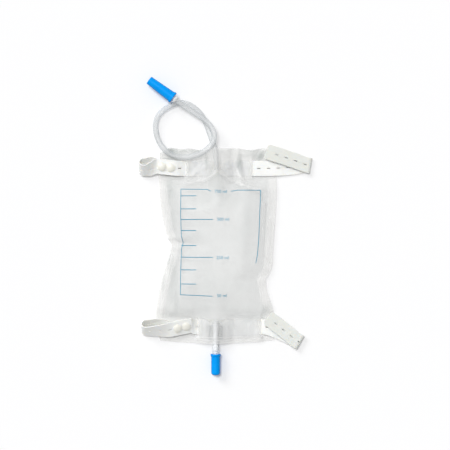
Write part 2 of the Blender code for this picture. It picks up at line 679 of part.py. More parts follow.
def lower_strap():
    line = LOWER_STRAP_Y
    high = STRAP_HIGH / MM
    entry = placed(LEFT_SIDE, line, LOWER_PANEL_MM, tilted(18))
    bend = placed(LEFT_SIDE, line, LOWER_LOOP_MM, tilted(54))
    front, rear, places = panel(entry, (-11.0, -2.2, 0.9))
    level = zip(LOWER_LEVEL_MM, ((0.33, 0.94, 0), (0.17, 0.985, 0)))
    outward, inward = LOWER_REACH_MM
    back_outward, back_inward = LOWER_UNDER_MM
    stations = (
        *(placed(RIGHT_SIDE, line, spot, LOWER_SLANT) for spot in LOWER_TAIL_MM),
        *loop(placed(RIGHT_SIDE, line, LOWER_FOLD_MM, LOWER_CREASE), 1, LOWER_FOLD_RADIUS_MM),
        placed(RIGHT_SIDE, line, LOWER_RETURN_MM, (0.43, 0.9, 0)),
        *(placed(RIGHT_SIDE, line, (*spot, high), width) for spot, width in level),
        *under_films(line, LOWER_SLITS), placed(LEFT_SIDE, line, LOWER_RISE_MM, tilted(8)),
        *front, placed(LEFT_SIDE, line, outward, tilted(32)), placed(LEFT_SIDE, line, inward, tilted(46)),
        *loop(bend, -1, LOWER_LOOP_RADIUS_MM, LOWER_LOOP_SHIFT_MM),
        placed(LEFT_SIDE, line, back_outward, tilted(46)), placed(LEFT_SIDE, line, back_inward, tilted(32)),
        *rear[:-1],
    )
    strap("lower_strap", stations, places)
    for number, (point, direction) in enumerate(places, 1):
        stud(f"lower_stud_{number}", point, direction)


# Inlet hose with its connector and cap
def pin_frame():
    axis = Vector((math.cos(PIN_TURN), math.sin(PIN_TURN), 0.0))
    start = Vector((*PIN_START, PIN_AXIS_HEIGHT))
    return start, axis


def inlet_hose():
    start, axis = pin_frame()
    ending = [tuple((start - axis * back) / MM) for back in (0.0125, 0.006, 0.0)]
    route = np.array(HOSE_ROUTE_MM + tuple(ending)) * MM
    points, _ = smooth_curve(route, HOSE_PITCH)
    curve = bpy.data.curves.new("inlet_hose", "CURVE")
    curve.dimensions = "3D"
    curve.bevel_depth = HOSE_RADIUS
    curve.bevel_resolution = 2
    curve.use_fill_caps = True
    spline = curve.splines.new("POLY")
    spline.points.add(len(points) - 1)
    for point, place in zip(spline.points, points):
        point.co = (*place, 1.0)
    curve.materials.append(MATERIALS["clear_hose"])
    obj = bpy.data.objects.new("inlet_hose", curve)
    PARTS.objects.link(obj)
    return obj


def inlet_connector():
    start, axis = pin_frame()
    neck = CONNECTOR_NECK_LENGTH
    outer = [
        (CONNECTOR_COLLAR_RADIUS, 0.0), (CONNECTOR_COLLAR_RADIUS, 0.30 * neck),
        (CONNECTOR_RING_RADIUS, 0.38 * neck),
        (CONNECTOR_RING_RADIUS, 0.72 * neck), (CONNECTOR_COLLAR_RADIUS - 0.0003, 0.80 * neck),
    ]
    at = neck
    for length, radius in CONNECTOR_STEPS:
        outer.append((radius, at))
        at += length
        outer.append((radius * 0.93, at))
    profile = outer[::-1] + [(CONNECTOR_BORE_RADIUS, 0.0), (CONNECTOR_BORE_RADIUS, at)]
    matrix = along(axis, start + axis * GAP)
    return turned("inlet_connector", profile, 14, PARTS, "clear_plastic", matrix, closed=True)


def inlet_cap():
    start, axis = pin_frame()
    mouth = GAP + CONNECTOR_NECK_LENGTH + GAP
    first = CONNECTOR_STEPS[0]
    last = CONNECTOR_STEPS[-1]
    bore = first[1] + GAP
    bore_end = last[1] * 0.93 + GAP
    depth = INLET_CAP_LENGTH - INLET_CAP_END
    profile = (
        (0.0, INLET_CAP_LENGTH), (INLET_CAP_TIP_RADIUS - 0.0004, INLET_CAP_LENGTH),
        (INLET_CAP_TIP_RADIUS, INLET_CAP_LENGTH - 0.0005), (INLET_CAP_BODY_RADIUS, INLET_CAP_RIM + 0.0006),
        (INLET_CAP_MOUTH_RADIUS, INLET_CAP_RIM), (INLET_CAP_MOUTH_RADIUS, 0.0), (bore, 0.0),
        (bore, first[0] + 0.0004), (bore_end, depth), (0.0, depth),
    )
    matrix = along(axis, start + axis * mouth)
    return turned("inlet_cap", profile, 18, PARTS, "blue_plastic", matrix)


# Outlet port with its ladder of welding rungs, inner tube and cap
def port_matrix(y):
    return along((0.0, -1.0, 0.0), (PORT_X, y, PORT_HEIGHT))


def outlet_port():
    length = PORT_LENGTH
    ribs_end = PORT_TOP - OUTLET_CAP_TOP - 0.0008
    outer = [(PORT_RADIUS, 0.0)]
    for number in range(PORT_RIBS):
        middle = ribs_end - (PORT_RIBS - number - 0.5) * PORT_RIB_PITCH
        outer += [
            (PORT_RADIUS - PORT_RIB_HEIGHT, middle - 0.5 * PORT_RIB_PITCH),
            (PORT_RADIUS, middle - 0.2 * PORT_RIB_PITCH), (PORT_RADIUS, middle + 0.2 * PORT_RIB_PITCH),
        ]
    outer += [(PORT_RADIUS - PORT_RIB_HEIGHT, ribs_end), (PORT_RADIUS - 0.0003, length)]
    profile = outer[::-1] + [(PORT_BORE_RADIUS, 0.0), (PORT_BORE_RADIUS, length)]
    port = turned("outlet_port", profile, 18, PARTS, "clear_plastic", port_matrix(PORT_TOP), closed=True)
    inner = (PORT_RADIUS + PORT_BORE_RADIUS) / 2
    reach = LADDER_REACH - inner
    rungs, rails = [], []
    for side in (-1, 1):
        slant = Matrix.Rotation(LADDER_SLANT * side, 4, "Z")
        for number in range(LADDER_RUNGS):
            y = LADDER_TOP - (number + 0.5) * LADDER_PITCH
            place = Matrix.Translation((PORT_X + side * (inner + reach / 2), y, PORT_HEIGHT))
            rungs.append(((reach, LADDER_BAR, LADDER_BAR), place @ slant))
        long = LADDER_RUNGS * LADDER_PITCH
        x = PORT_X + side * (LADDER_REACH - LADDER_BAR)
        place = Matrix.Translation((x, LADDER_TOP - long / 2, PORT_HEIGHT))
        rails.append(((LADDER_BAR * 0.8, long, LADDER_BAR * 0.7), place))
    boolean(port, boxes("port_rungs", rungs), "UNION")
    boolean(port, boxes("port_rails", rails), "UNION")
    return port


def outlet_tube():
    length = OUTLET_TUBE_LENGTH
    radius = PORT_BORE_RADIUS - GAP
    bore = OUTLET_TUBE_BORE_RADIUS
    profile = ((radius, length), (radius, -0.002), (bore, -0.002), (bore, length))
    return turned("outlet_tube", profile, 14, PARTS, "strap_rubber", port_matrix(PORT_TOP), closed=True)


def outlet_cap():
    bore = PORT_RADIUS + GAP
    depth = OUTLET_CAP_LENGTH - OUTLET_CAP_END
    profile = (
        (0.0, OUTLET_CAP_LENGTH), (0.55 * OUTLET_CAP_RADIUS, OUTLET_CAP_LENGTH),
        (0.88 * OUTLET_CAP_RADIUS, OUTLET_CAP_LENGTH - 0.0010),
        (OUTLET_CAP_RADIUS, OUTLET_CAP_LENGTH - 0.0028),
        (OUTLET_CAP_RADIUS, OUTLET_CAP_RIM + 0.0006), (OUTLET_CAP_RIM_RADIUS, OUTLET_CAP_RIM),
        (OUTLET_CAP_RIM_RADIUS, 0.0), (bore, 0.0), (bore, depth), (0.0, depth),
    )
    return turned("outlet_cap", profile, 18, PARTS, "blue_plastic", port_matrix(OUTLET_CAP_TOP))


film("back_film", back_height, -1.0)
film("front_film", front_height, 1.0)
valve_flap("valve_front_flap", 1)
valve_flap("valve_back_flap", -1)
upper_strap()
lower_strap()
inlet_hose()
inlet_connector()
inlet_cap()
outlet_port()
outlet_tube()
outlet_cap()
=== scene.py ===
import json
import math

import bmesh
import bpy
import numpy as np
from mathutils import Matrix, Vector
from mathutils.bvhtree import BVHTree

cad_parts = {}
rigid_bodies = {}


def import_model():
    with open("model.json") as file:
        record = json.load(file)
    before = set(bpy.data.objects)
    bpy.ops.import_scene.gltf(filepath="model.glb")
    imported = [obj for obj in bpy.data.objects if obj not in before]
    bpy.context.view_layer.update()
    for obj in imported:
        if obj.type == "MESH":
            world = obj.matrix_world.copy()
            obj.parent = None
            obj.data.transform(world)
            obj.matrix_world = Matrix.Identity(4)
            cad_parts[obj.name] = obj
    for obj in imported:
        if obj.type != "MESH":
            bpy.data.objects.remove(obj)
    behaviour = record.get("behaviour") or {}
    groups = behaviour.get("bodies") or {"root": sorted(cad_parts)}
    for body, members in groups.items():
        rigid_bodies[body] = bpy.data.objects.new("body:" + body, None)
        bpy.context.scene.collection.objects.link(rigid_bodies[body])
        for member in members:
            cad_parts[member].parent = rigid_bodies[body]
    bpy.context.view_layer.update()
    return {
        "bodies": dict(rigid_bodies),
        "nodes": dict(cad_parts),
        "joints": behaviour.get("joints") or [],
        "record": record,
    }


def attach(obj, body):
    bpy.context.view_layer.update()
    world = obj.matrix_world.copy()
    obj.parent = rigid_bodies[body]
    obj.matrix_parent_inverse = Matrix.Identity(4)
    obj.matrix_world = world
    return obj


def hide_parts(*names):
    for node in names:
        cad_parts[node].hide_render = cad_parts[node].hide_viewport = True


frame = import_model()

print("frame loaded:", len(frame["nodes"]), "nodes")
mm = 0.001


# Camera first: straight above the bag, through a long lens
cameraSettings = {
    "aim": (0.01125, 0.0250),       # middle of the picture on the table
    "pictureSide": 0.5625,          # what the picture spans there
    "height": 2.2,
    "sensor": 36.0,
}


def makeCamera():
    data = bpy.data.cameras.new("camera")
    data.sensor_width = cameraSettings["sensor"]
    data.sensor_height = cameraSettings["sensor"]
    data.sensor_fit = "HORIZONTAL"
    data.lens = cameraSettings["sensor"] * cameraSettings["height"] / cameraSettings["pictureSide"]
    data.clip_end = 20.0
    camera = bpy.data.objects.new("camera", data)
    camera.location = (*cameraSettings["aim"], cameraSettings["height"])
    bpy.context.scene.collection.objects.link(camera)
    bpy.context.scene.camera = camera


makeCamera()


# Helpers for curves, meshes and pieces
def smoothStep(value, low, high):
    share = np.clip((value - low) / (high - low), 0.0, 1.0)
    return share * share * (3 - 2 * share)


def runLengths(points):
    return np.concatenate([[0], np.cumsum(np.linalg.norm(np.diff(points[:, :3], axis=0), axis=1))])


def smoothPath(points, spacing):
    points = np.array(points, float)
    knots = runLengths(points)
    slopes = np.gradient(points, knots, axis=0)
    fine = np.linspace(0, knots[-1], 4000)
    cell = np.clip(np.searchsorted(knots, fine, side="right") - 1, 0, len(points) - 2)
    span = (knots[cell + 1] - knots[cell])[:, None]
    t = ((fine - knots[cell])[:, None]) / span
    curve = (
        (2 * t**3 - 3 * t**2 + 1) * points[cell] + (t**3 - 2 * t**2 + t) * span * slopes[cell]
        + (3 * t**2 - 2 * t**3) * points[cell + 1] + (t**3 - t**2) * span * slopes[cell + 1]
    )
    lengths = runLengths(curve)
    even = np.linspace(0, lengths[-1], max(2, round(lengths[-1] / spacing) + 1))
    return np.stack([np.interp(even, lengths, column) for column in curve.T], axis=1), float(lengths[-1])


def addObject(name, mesh, material=None):
    obj = bpy.data.objects.new(name, mesh)
    bpy.context.scene.collection.objects.link(obj)
    if material:
        mesh.materials.append(material)
    return obj


def meshFromBmesh(name, bm):
    mesh = bpy.data.meshes.new(name)
    bm.to_mesh(mesh)
    bm.free()
    return mesh


def applyModifiers(obj):
    bpy.context.view_layer.update()
    graph = bpy.context.evaluated_depsgraph_get()
    mesh = bpy.data.meshes.new_from_object(obj.evaluated_get(graph), depsgraph=graph)
    obj.modifiers.clear()
    obj.data = mesh
    return obj


def makePiece(name, bm, material, sheet=None, softEdge=None, shade=35):
    obj = addObject(name, meshFromBmesh(name, bm), material)
    if sheet:
        solidify = obj.modifiers.new("sheet", "SOLIDIFY")
        solidify.thickness, solidify.offset, solidify.use_even_offset = sheet
    if softEdge:
        bevel = obj.modifiers.new("soft edge", "BEVEL")
        bevel.width, bevel.angle_limit = softEdge
        bevel.segments = 2
        bevel.limit_method = "ANGLE"
    if sheet or softEdge:
        applyModifiers(obj)
    if shade:
        obj.data.shade_smooth()
        obj.data.set_sharp_from_angle(angle=math.radians(shade))
    return obj


def along(direction, origin):
    turn = Vector(direction).to_track_quat("Z", "Y").to_matrix().to_4x4()
    return Matrix.Translation(Vector(origin)) @ turn


def lathe(name, profile, steps, matrix, material, closed=False):
    bm = bmesh.new()
    points = [bm.verts.new((radius, 0.0, z)) for radius, z in profile]
    edges = [bm.edges.new(pair) for pair in zip(points, points[1:])]
    if closed:
        edges.append(bm.edges.new((points[-1], points[0])))
    bmesh.ops.spin(bm, geom=points + edges, axis=(0, 0, 1), cent=(0, 0, 0), angle=2 * math.pi, steps=steps)
    bmesh.ops.remove_doubles(bm, verts=bm.verts, dist=0.000004)
    bmesh.ops.transform(bm, matrix=matrix, verts=bm.verts)
    bmesh.ops.recalc_face_normals(bm, faces=bm.faces)
    return makePiece(name, bm, material)


def rounded(profile, radius, steps=4):
    result = []
    for i, point in enumerate(profile):
        here = Vector(point)
        if i in (0, len(profile) - 1):
            result.append(tuple(here))
            continue
        back = Vector(profile[i - 1]) - here
        ahead = Vector(profile[i + 1]) - here
        cut = min(radius, 0.45 * back.length, 0.45 * ahead.length)
        start = here + back.normalized() * cut
        end = here + ahead.normalized() * cut
        for step in range(steps + 1):
            t = step / steps
            result.append(tuple(start * (1 - t) ** 2 + here * 2 * t * (1 - t) + end * t * t))
    return result


# Node helpers: a socket takes a plain value, another socket, or a node, whose first output is meant
mixSockets = {"first": 6, "second": 7, "result": 2}     # the colour sockets of a Mix node


def fill(tree, node, sockets):
    for name, value in sockets.items():
        if isinstance(value, bpy.types.Node):
            value = value.outputs[0]
        if isinstance(value, bpy.types.NodeSocket):
            tree.links.new(value, node.inputs[name])
        else:
            node.inputs[name].default_value = value
    return node


def put(tree, kind, sockets=None, **settings):
    node = tree.nodes.new(kind)
    for key, value in settings.items():
        setattr(node, key, value)
    return fill(tree, node, sockets or {})


def newTree(name, kind, given, made):
    tree = bpy.data.node_groups.new(name, kind)
    identifiers = {}
    for way, sockets in (("OUTPUT", made), ("INPUT", given)):
        for label, sort in sockets.items():
            socket = tree.interface.new_socket(name=label, in_out=way, socket_type="NodeSocket" + sort)
            identifiers[label] = socket.identifier
    return tree, put(tree, "NodeGroupInput").outputs, identifiers


def finishTree(tree, geometry, material):      # each tree ends as real mesh with its material
    real = put(tree, "GeometryNodeRealizeInstances", {"Geometry": geometry})
    painted = put(tree, "GeometryNodeSetMaterial", {"Geometry": real, "Material": material})
    put(tree, "NodeGroupOutput", {"Geometry": painted})


def runTree(obj, tree, identifiers, values):
    modifier = obj.modifiers.new("tree", "NODES")
    modifier.node_group = tree
    for label, value in values.items():
        modifier[identifiers[label]] = value
    return applyModifiers(obj)


def calculate(tree, operation, *values):
    return put(tree, "ShaderNodeMath", dict(enumerate(values)), operation=operation)


def mapRange(tree, value, low, high, toLow, toHigh):
    sockets = {"Value": value, "From Min": low, "From Max": high, "To Min": toLow, "To Max": toHigh}
    return put(tree, "ShaderNodeMapRange", sockets)


def mixColours(tree, factor, *colours):
    first, second = ((*colour, 1.0) if isinstance(colour, tuple) else colour for colour in colours)
    sockets = {"Factor": factor, mixSockets["first"]: first, mixSockets["second"]: second}
    return put(tree, "ShaderNodeMix", sockets, data_type="RGBA").outputs[mixSockets["result"]]


# Shader groups and materials
def newMaterial(name):
    material = bpy.data.materials.new(name)
    material.use_nodes = True
    return material, material.node_tree, material.node_tree.nodes["Principled BSDF"]


def makeGrainGroup():
    group, given, _ = newTree("surfaceGrain", "ShaderNodeTree", {
        "Scale": "Float", "Strength": "Float", "Distance": "Float", "Mottle Scale": "Float",
    }, {"Mottle": "Float", "Normal": "Vector"})
    place = put(group, "ShaderNodeTexCoord").outputs["Object"]
    fine = put(group, "ShaderNodeTexNoise", {"Vector": place, "Scale": given["Scale"], "Detail": 3.0})
    wide = put(group, "ShaderNodeTexNoise", {
        "Vector": place, "Scale": given["Mottle Scale"], "Detail": 4.0})
    bump = put(group, "ShaderNodeBump", {
        "Height": fine, "Strength": given["Strength"], "Distance": given["Distance"]})
    put(group, "NodeGroupOutput", {"Mottle": wide, "Normal": bump})
    return group


grainGroup = makeGrainGroup()
grainLook = {     # strength and depth of the fine grain, and the scale of the soft mottling
    "film": (0.35, 0.00006, 38.0), "latex": (0.45, 0.00005, 60.0), "solid": (0.25, 0.00004, 90.0),
    "clear": (0.10, 0.00003, 70.0), "mottleRange": (0.3, 0.7),
}


def addGrain(tree, shader, kind, scale):
    strength, distance, mottleScale = grainLook[kind]
    grain = put(tree, "ShaderNodeGroup", node_tree=grainGroup)
    fill(tree, grain, {
        "Scale": scale, "Strength": strength, "Distance": distance, "Mottle Scale": mottleScale})
    fill(tree, shader, {"Normal": grain.outputs["Normal"]})
    return grain.outputs["Mottle"]


def byMottle(tree, mottle, low, high):
    return mapRange(tree, mottle, *grainLook["mottleRange"], low, high)


def byMask(tree, name):
    return put(tree, "ShaderNodeAttribute", attribute_name=name).outputs["Fac"]


def byRim(tree, start):      # grows where the surface turns away from the eye
    facing = put(tree, "ShaderNodeLayerWeight", {"Blend": 0.5}).outputs["Facing"]
    return mapRange(tree, facing, start, 1.0, 0.0, 1.0)


def lettingLight(tree, alpha, share):      # the alpha that shadow rays meet is a share of the seen one
    shadow = put(tree, "ShaderNodeLightPath").outputs["Is Shadow Ray"]
    return calculate(tree, "MULTIPLY", alpha, mapRange(tree, shadow, 0.0, 1.0, 1.0, share))


filmMasks = ("flange", "strapLight", "paintedShade", "seamAndHighlight")


def filmMaterial(name, look):
    material, tree, shader = newMaterial(name)
    mottle = addGrain(tree, shader, "film", look["grain"])
    colour = mixColours(tree, byMottle(tree, mottle, 0.0, 1.0), look["chamber"], look["chamberLight"])
    alpha = byMottle(tree, mottle, look["alpha"] - 0.015, look["alpha"] + 0.015)
    for mask in filmMasks:
        share = byMask(tree, mask)
        colour = mixColours(tree, share, colour, look[mask])
        alpha = calculate(tree, "MULTIPLY_ADD", share, look[mask + "Alpha"], alpha)
    fill(tree, shader, {
        "Base Color": colour, "Alpha": lettingLight(tree, alpha, look["shadow"]), "IOR": 1.5,
        "Roughness": byMottle(tree, mottle, look["roughness"] - 0.04, look["roughness"] + 0.06),
        "Coat Weight": look["coat"], "Coat Roughness": 0.22,
    })
    return material


filmLook = {
    "chamber": (0.80, 0.82, 0.805), "chamberLight": (0.90, 0.905, 0.89), "flange": (0.96, 0.957, 0.94),
    "strapLight": (0.98, 0.985, 0.99), "seamAndHighlight": (0.98, 0.98, 0.975), "paintedShade": (0.44, 0.49, 0.47),
    "alpha": 0.18, "flangeAlpha": 0.02, "strapLightAlpha": 0.14, "seamAndHighlightAlpha": 0.24, "paintedShadeAlpha": 0.20,
    "roughness": 0.42, "coat": 0.12, "grain": 900.0, "shadow": 1.10,
}
backLook = dict(filmLook, alpha=0.09, coat=0.0)
valveLook = dict(filmLook, alpha=0.05, coat=0.0, grain=1400.0)
# the latex's own mottled colour, and the painted shade laid over the strap's folded-over end
rubberLook = {"latexColour": ((0.93, 0.935, 0.90), (0.96, 0.96, 0.93)), "paintedFoldShade": (0.78, 0.795, 0.755)}


def rubberMaterial():
    material, tree, shader = newMaterial("strapLatex")
    mottle = addGrain(tree, shader, "latex", 1500.0)
    latexColour = mixColours(tree, byMottle(tree, mottle, 0.0, 1.0), *rubberLook["latexColour"])
    fill(tree, shader, {
        "Base Color": mixColours(tree, byMask(tree, "paintedFoldShade"), latexColour, rubberLook["paintedFoldShade"]),
        "Roughness": byMottle(tree, mottle, 0.48, 0.62), "Subsurface Weight": 0.25,
        "Subsurface Radius": (0.003, 0.0025, 0.002), "Subsurface Scale": 1.0,
    })
    return material


def solidMaterial(name, first, second, roughness, grain, coat=0.0, gloss=0.5, rim=None):
    material, tree, shader = newMaterial(name)
    mottle = addGrain(tree, shader, "solid", grain)
    colour = mixColours(tree, byMottle(tree, mottle, 0.0, 1.0), first, second)
    if rim:
        # painted shade: the colour turns darker towards the grazing edges
        colour = mixColours(tree, byRim(tree, 0.45), colour, rim)
    fill(tree, shader, {
        "Base Color": colour, "Roughness": byMottle(tree, mottle, roughness - 0.04, roughness + 0.05),
        "Specular IOR Level": gloss, "Coat Weight": coat, "Coat Roughness": 0.15,
    })
    return material


def clearMaterial(name, look):
    material, tree, shader = newMaterial(name)
    mottle = addGrain(tree, shader, "clear", 500.0)
    # painted shade: the clear parts turn darker grey and less clear towards their grazing edges
    edge = byRim(tree, look["rimStart"])
    alpha = mapRange(tree, edge, 0.0, 1.0, look["alpha"], look["rimAlpha"])
    fill(tree, shader, {
        "Base Color": mixColours(tree, edge, look["middle"], look["rim"]),
        "Alpha": lettingLight(tree, alpha, look["shadow"]), "IOR": 1.5,
        "Roughness": byMottle(tree, mottle, look["roughness"], look["roughness"] + 0.06),
        "Coat Weight": 0.15, "Coat Roughness": 0.15,
    })
    return material


hoseLook = {
    "middle": (0.82, 0.84, 0.85), "rim": (0.44, 0.50, 0.54), "alpha": 0.30, "rimAlpha": 0.88,
    "rimStart": 0.26, "roughness": 0.30, "shadow": 0.9,
}
boreLook = dict(hoseLook, alpha=0.08, rimAlpha=0.45, rimStart=0.40)
mouldingLook = {
    "middle": (0.91, 0.925, 0.945), "rim": (0.70, 0.74, 0.78), "alpha": 0.52, "rimAlpha": 0.80,
    "rimStart": 0.40, "roughness": 0.30, "shadow": 0.35,
}
# painted shade: the rungs and rails are painted dark grey, standing in for the shade that falls on and
# between them
shadedRungLook = dict(mouldingLook, middle=(0.36, 0.40, 0.43), rim=(0.30, 0.35, 0.38), alpha=0.90,
                rimAlpha=0.95)
milkyLook = dict(mouldingLook, middle=(0.985, 0.985, 0.985), rim=(0.93, 0.94, 0.95), alpha=0.96,
                 rimAlpha=1.0)
materials = {
    "frontFilm": filmMaterial("frontFilmVinyl", filmLook),
    "backFilm": filmMaterial("backFilmVinyl", backLook),
    "valveFilm": filmMaterial("valveFilmVinyl", valveLook),
    "latex": rubberMaterial(),
    "button": solidMaterial("buttonPlastic", (0.88, 0.87, 0.79), (0.91, 0.90, 0.83), 0.34, 700.0,
                            coat=0.2),
    "hose": clearMaterial("hoseVinyl", hoseLook),
    "bore": clearMaterial("hoseBoreVinyl", boreLook),
    "clear": clearMaterial("clearMoulding", mouldingLook),
    "milky": clearMaterial("milkyMoulding", milkyLook),
    "rung": clearMaterial("rungMouldingPaintedShade", shadedRungLook),
    "whiteTube": solidMaterial("whiteTubeVinyl", (0.89, 0.905, 0.925), (0.92, 0.93, 0.945), 0.42, 600.0,
                               gloss=0.3),
    "blue": solidMaterial("blueCapPlastic", (0.000, 0.310, 0.88), (0.000, 0.345, 0.93), 0.42, 900.0,
                          gloss=0.08, rim=(0.0, 0.10, 0.38)),
    "ink": solidMaterial("scaleInk", (0.020, 0.26, 0.42), (0.035, 0.31, 0.47), 0.45, 1200.0),
}


# Inlet hose: its route is the one that the model's cord node follows
hoseSettings = {
    "radius": 0.0033, "bore": 0.0022, "sides": 32, "spacing": 0.0016,
    "pinTurn": math.radians(143.7), "pinStart": (-0.0495, 0.1804), "pinHeight": 0.0105,
}
hoseRoute = (   # millimetres, from inside the bag round to the connector
    (0.5, 93.4, 7.3), (0.0, 106.0, 7.3), (-1.2, 118.5, 7.3), (-3.9, 127.5, 6.9), (-7.0, 136.5, 5.6),
    (-10.4, 146.5, 4.2), (-15.0, 157.0, 3.5), (-24.5, 169.3, 3.4), (-34.8, 175.9, 3.4),
    (-46.1, 177.4, 3.4), (-57.6, 173.4, 3.4), (-67.2, 166.9, 3.4), (-73.0, 159.6, 3.4),
    (-75.3, 151.0, 3.4), (-74.5, 139.3, 3.4), (-71.4, 129.6, 3.7), (-65.5, 120.8, 4.9),
    (-56.5, 113.3, 5.4), (-46.0, 109.8, 6.4), (-34.5, 109.6, 8.4), (-23.0, 112.6, 9.8),
    (-12.0, 118.6, 13.4), (-5.6, 125.0, 15.0), (-2.4, 132.0, 14.8), (-2.4, 138.4, 14.0),
    (-5.0, 145.0, 12.6), (-9.2, 151.0, 11.4), (-15.0, 156.6, 10.8), (-22.1, 161.7, 10.5),
)
pinAxis = Vector((math.cos(hoseSettings["pinTurn"]), math.sin(hoseSettings["pinTurn"]), 0.0))
pinStart = Vector((*hoseSettings["pinStart"], hoseSettings["pinHeight"]))


def pathFrames(path):
    tangent = np.gradient(path, axis=0)
    tangent /= np.linalg.norm(tangent, axis=1)[:, None]
    normal = np.cross(tangent[0], (0.0, 0.0, 1.0))
    frames = []
    for direction in tangent:
        normal = normal - direction * (normal @ direction)
        normal = normal / np.linalg.norm(normal)
        frames.append((normal.copy(), np.cross(direction, normal)))
    return frames


def ringAround(bm, point, across, up, radius):
    ring = []
    for i in range(hoseSettings["sides"]):
        turn = 2 * math.pi * i / hoseSettings["sides"]
        ring.append(bm.verts.new(point + (across * math.cos(turn) + up * math.sin(turn)) * radius))
    return ring


def hoseTube(name, path):
    bm = bmesh.new()
    sides, frames = range(hoseSettings["sides"]), pathFrames(path)
    walls = [[ringAround(bm, point, *frame, radius) for point, frame in zip(path, frames)]
             for radius in (hoseSettings["radius"], hoseSettings["bore"])]
    for isBore, wall in enumerate(walls):
        for first, second in zip(wall, wall[1:]):
            for i in sides:
                face = bm.faces.new((first[i], first[i - 1], second[i - 1], second[i]))
                face.material_index = isBore
    for outer, inner in ((walls[0][0], walls[1][0]), (walls[0][-1], walls[1][-1])):
        for i in sides:
            bm.faces.new((outer[i], inner[i], inner[i - 1], outer[i - 1]))
    bmesh.ops.recalc_face_normals(bm, faces=bm.faces)
    obj = makePiece(name, bm, materials["hose"])
    obj.data.materials.append(materials["bore"])
    return obj


hoseEnding = [tuple((pinStart - pinAxis * back) / mm) for back in (0.0125, 0.006, 0.0)]
hosePath, hoseLength = smoothPath(np.array(hoseRoute + tuple(hoseEnding)) * mm, hoseSettings["spacing"])
inletHose = hoseTube("inletHoseClear", hosePath)
print("hose:", round(hoseLength, 4), "m,", len(hosePath), "rings")


# Bag films: the outline, welds and heights of the model, with the fine folds on top
bag = {
    "film": 0.0004, "width": 0.1520, "top": 0.1205, "bottom": -0.1185, "chamberTop": 0.0840,
    "chamberBottom": -0.0910, "depth": 0.0205, "flange": 0.0110, "weldHeight": 0.0055, "funnel": 0.0060,
    "gap": 0.0003, "bottomSag": 0.0045, "cornerDrop": 0.0060,
    "strapWidth": 0.0190, "strapLow": 0.00075, "strapHigh": 0.00215, "overStrap": 0.0016,
    "slitWidth": 0.0030, "slitEnd": 0.0010, "upperSlits": (-0.0388, 0.0469),
    "lowerSlits": (-0.0240, 0.0575), "upperStrapY": 0.0956, "lowerStrapY": -0.1020,
    "portX": -0.0004, "portHeight": 0.00735, "sleeveRadius": 0.0050, "sleeveWidth": 0.0120,
}
blends = {     # over what lengths one height of the film runs into the next
    "frontShoulder": (0.032, 0.046), "backShoulder": (0.013, 0.022),      # from side and end welds
    "underFilm": 0.012, "besideSlit": 0.6, "besideHose": (-0.002, 0.012), "endWeld": 0.014,
    "sideDrop": 0.0015, "funnelWidth": 0.011,
    "strapLight": {"slit": (-0.001, 0.011), "edge": (-0.0022, 0.0022), "hose": (0.002, 0.016)},
    "calm": {"slit": (0.0, 0.004), "edge": 0.006, "hose": (0.004, 0.012), "ends": 0.075},
}
endWaves = {   # the top edge: waves as height, rate and start, and the corner that drops
    "waves": ((0.0009, 95, 0.6), (0.0007, 210, 2.0)), "from": 0.108, "corner": 0.72, "fade": 0.018,
}
slitReach = bag["strapWidth"] / 2 + bag["slitEnd"]
leftEdge = (    # (share of the length from the top, inset from the side in metres), with the pinch
    (0.0000, 0.0060), (0.1276, 0.0045), (0.2699, 0.0062), (0.4017, 0.0115), (0.4750, 0.0165),
    (0.4980, 0.0198), (0.5293, 0.0195), (0.5879, 0.0158), (0.6715, 0.0098), (0.7762, 0.0040),
    (0.8891, 0.0010), (1.0000, 0.0060),
)
rightEdge = (   # the same for the right side, with its kink
    (0.0000, 0.0070), (0.1025, 0.0010), (0.2113, 0.0002), (0.3787, 0.0024), (0.5251, 0.0050),
    (0.6213, 0.0068), (0.6548, 0.0098), (0.6820, 0.0138), (0.7218, 0.0130), (0.8389, 0.0050),
    (1.0000, 0.0030),
)


def edgeLine(edge, side):
    half, length = bag["width"] / 2, bag["top"] - bag["bottom"]
    places = [(bag["top"] - share * length, side * (half - inset), 0.0) for share, inset in edge[::-1]]
    line, _ = smoothPath(places, 0.001)
    return line[:, 0], line[:, 1]


leftLine, rightLine = edgeLine(leftEdge, -1), edgeLine(rightEdge, 1)


def edgeX(line, y):
    return np.interp(y, *line)


def sideGaps(x, y):
    return x - edgeX(leftLine, y), edgeX(rightLine, y) - x


def lengthShare(y):
    return np.clip((y - bag["chamberBottom"]) / (bag["chamberTop"] - bag["chamberBottom"]), 0, 1)


def slitX(side, y):
    low, high = bag["lowerSlits"][side], bag["upperSlits"][side]
    return low + (high - low) * lengthShare(y)


def hoseX(y):
    first = np.array(hoseRoute[:3]) * mm
    upper = np.interp(y, first[:, 1], first[:, 0])
    return bag["portX"] * (1 - lengthShare(y)) + upper * lengthShare(y)


def sleeveHeight(offset, radius=bag["sleeveRadius"], width=bag["sleeveWidth"]):
    offset = np.abs(offset)
    angle = math.acos(radius / width)
    touch = radius * math.cos(angle)
    arch = np.sqrt(np.maximum(radius * radius - offset * offset, 0.0))
    slope = radius * math.sin(angle) * (width - offset) / (width - touch)
    return np.where(offset < touch, arch, np.maximum(slope, 0.0))


def insideSlits(x, y):
    return np.minimum(x - slitX(0, y), slitX(1, y) - x)


def fromStrap(y):
    return np.abs(y - np.where(y > 0, bag["upperStrapY"], bag["lowerStrapY"]))


def strapHeight(x, y):
    share = smoothStep(insideSlits(x, y), 0.0, blends["underFilm"])
    return bag["strapHigh"] + (bag["strapLow"] - bag["strapHigh"]) * share


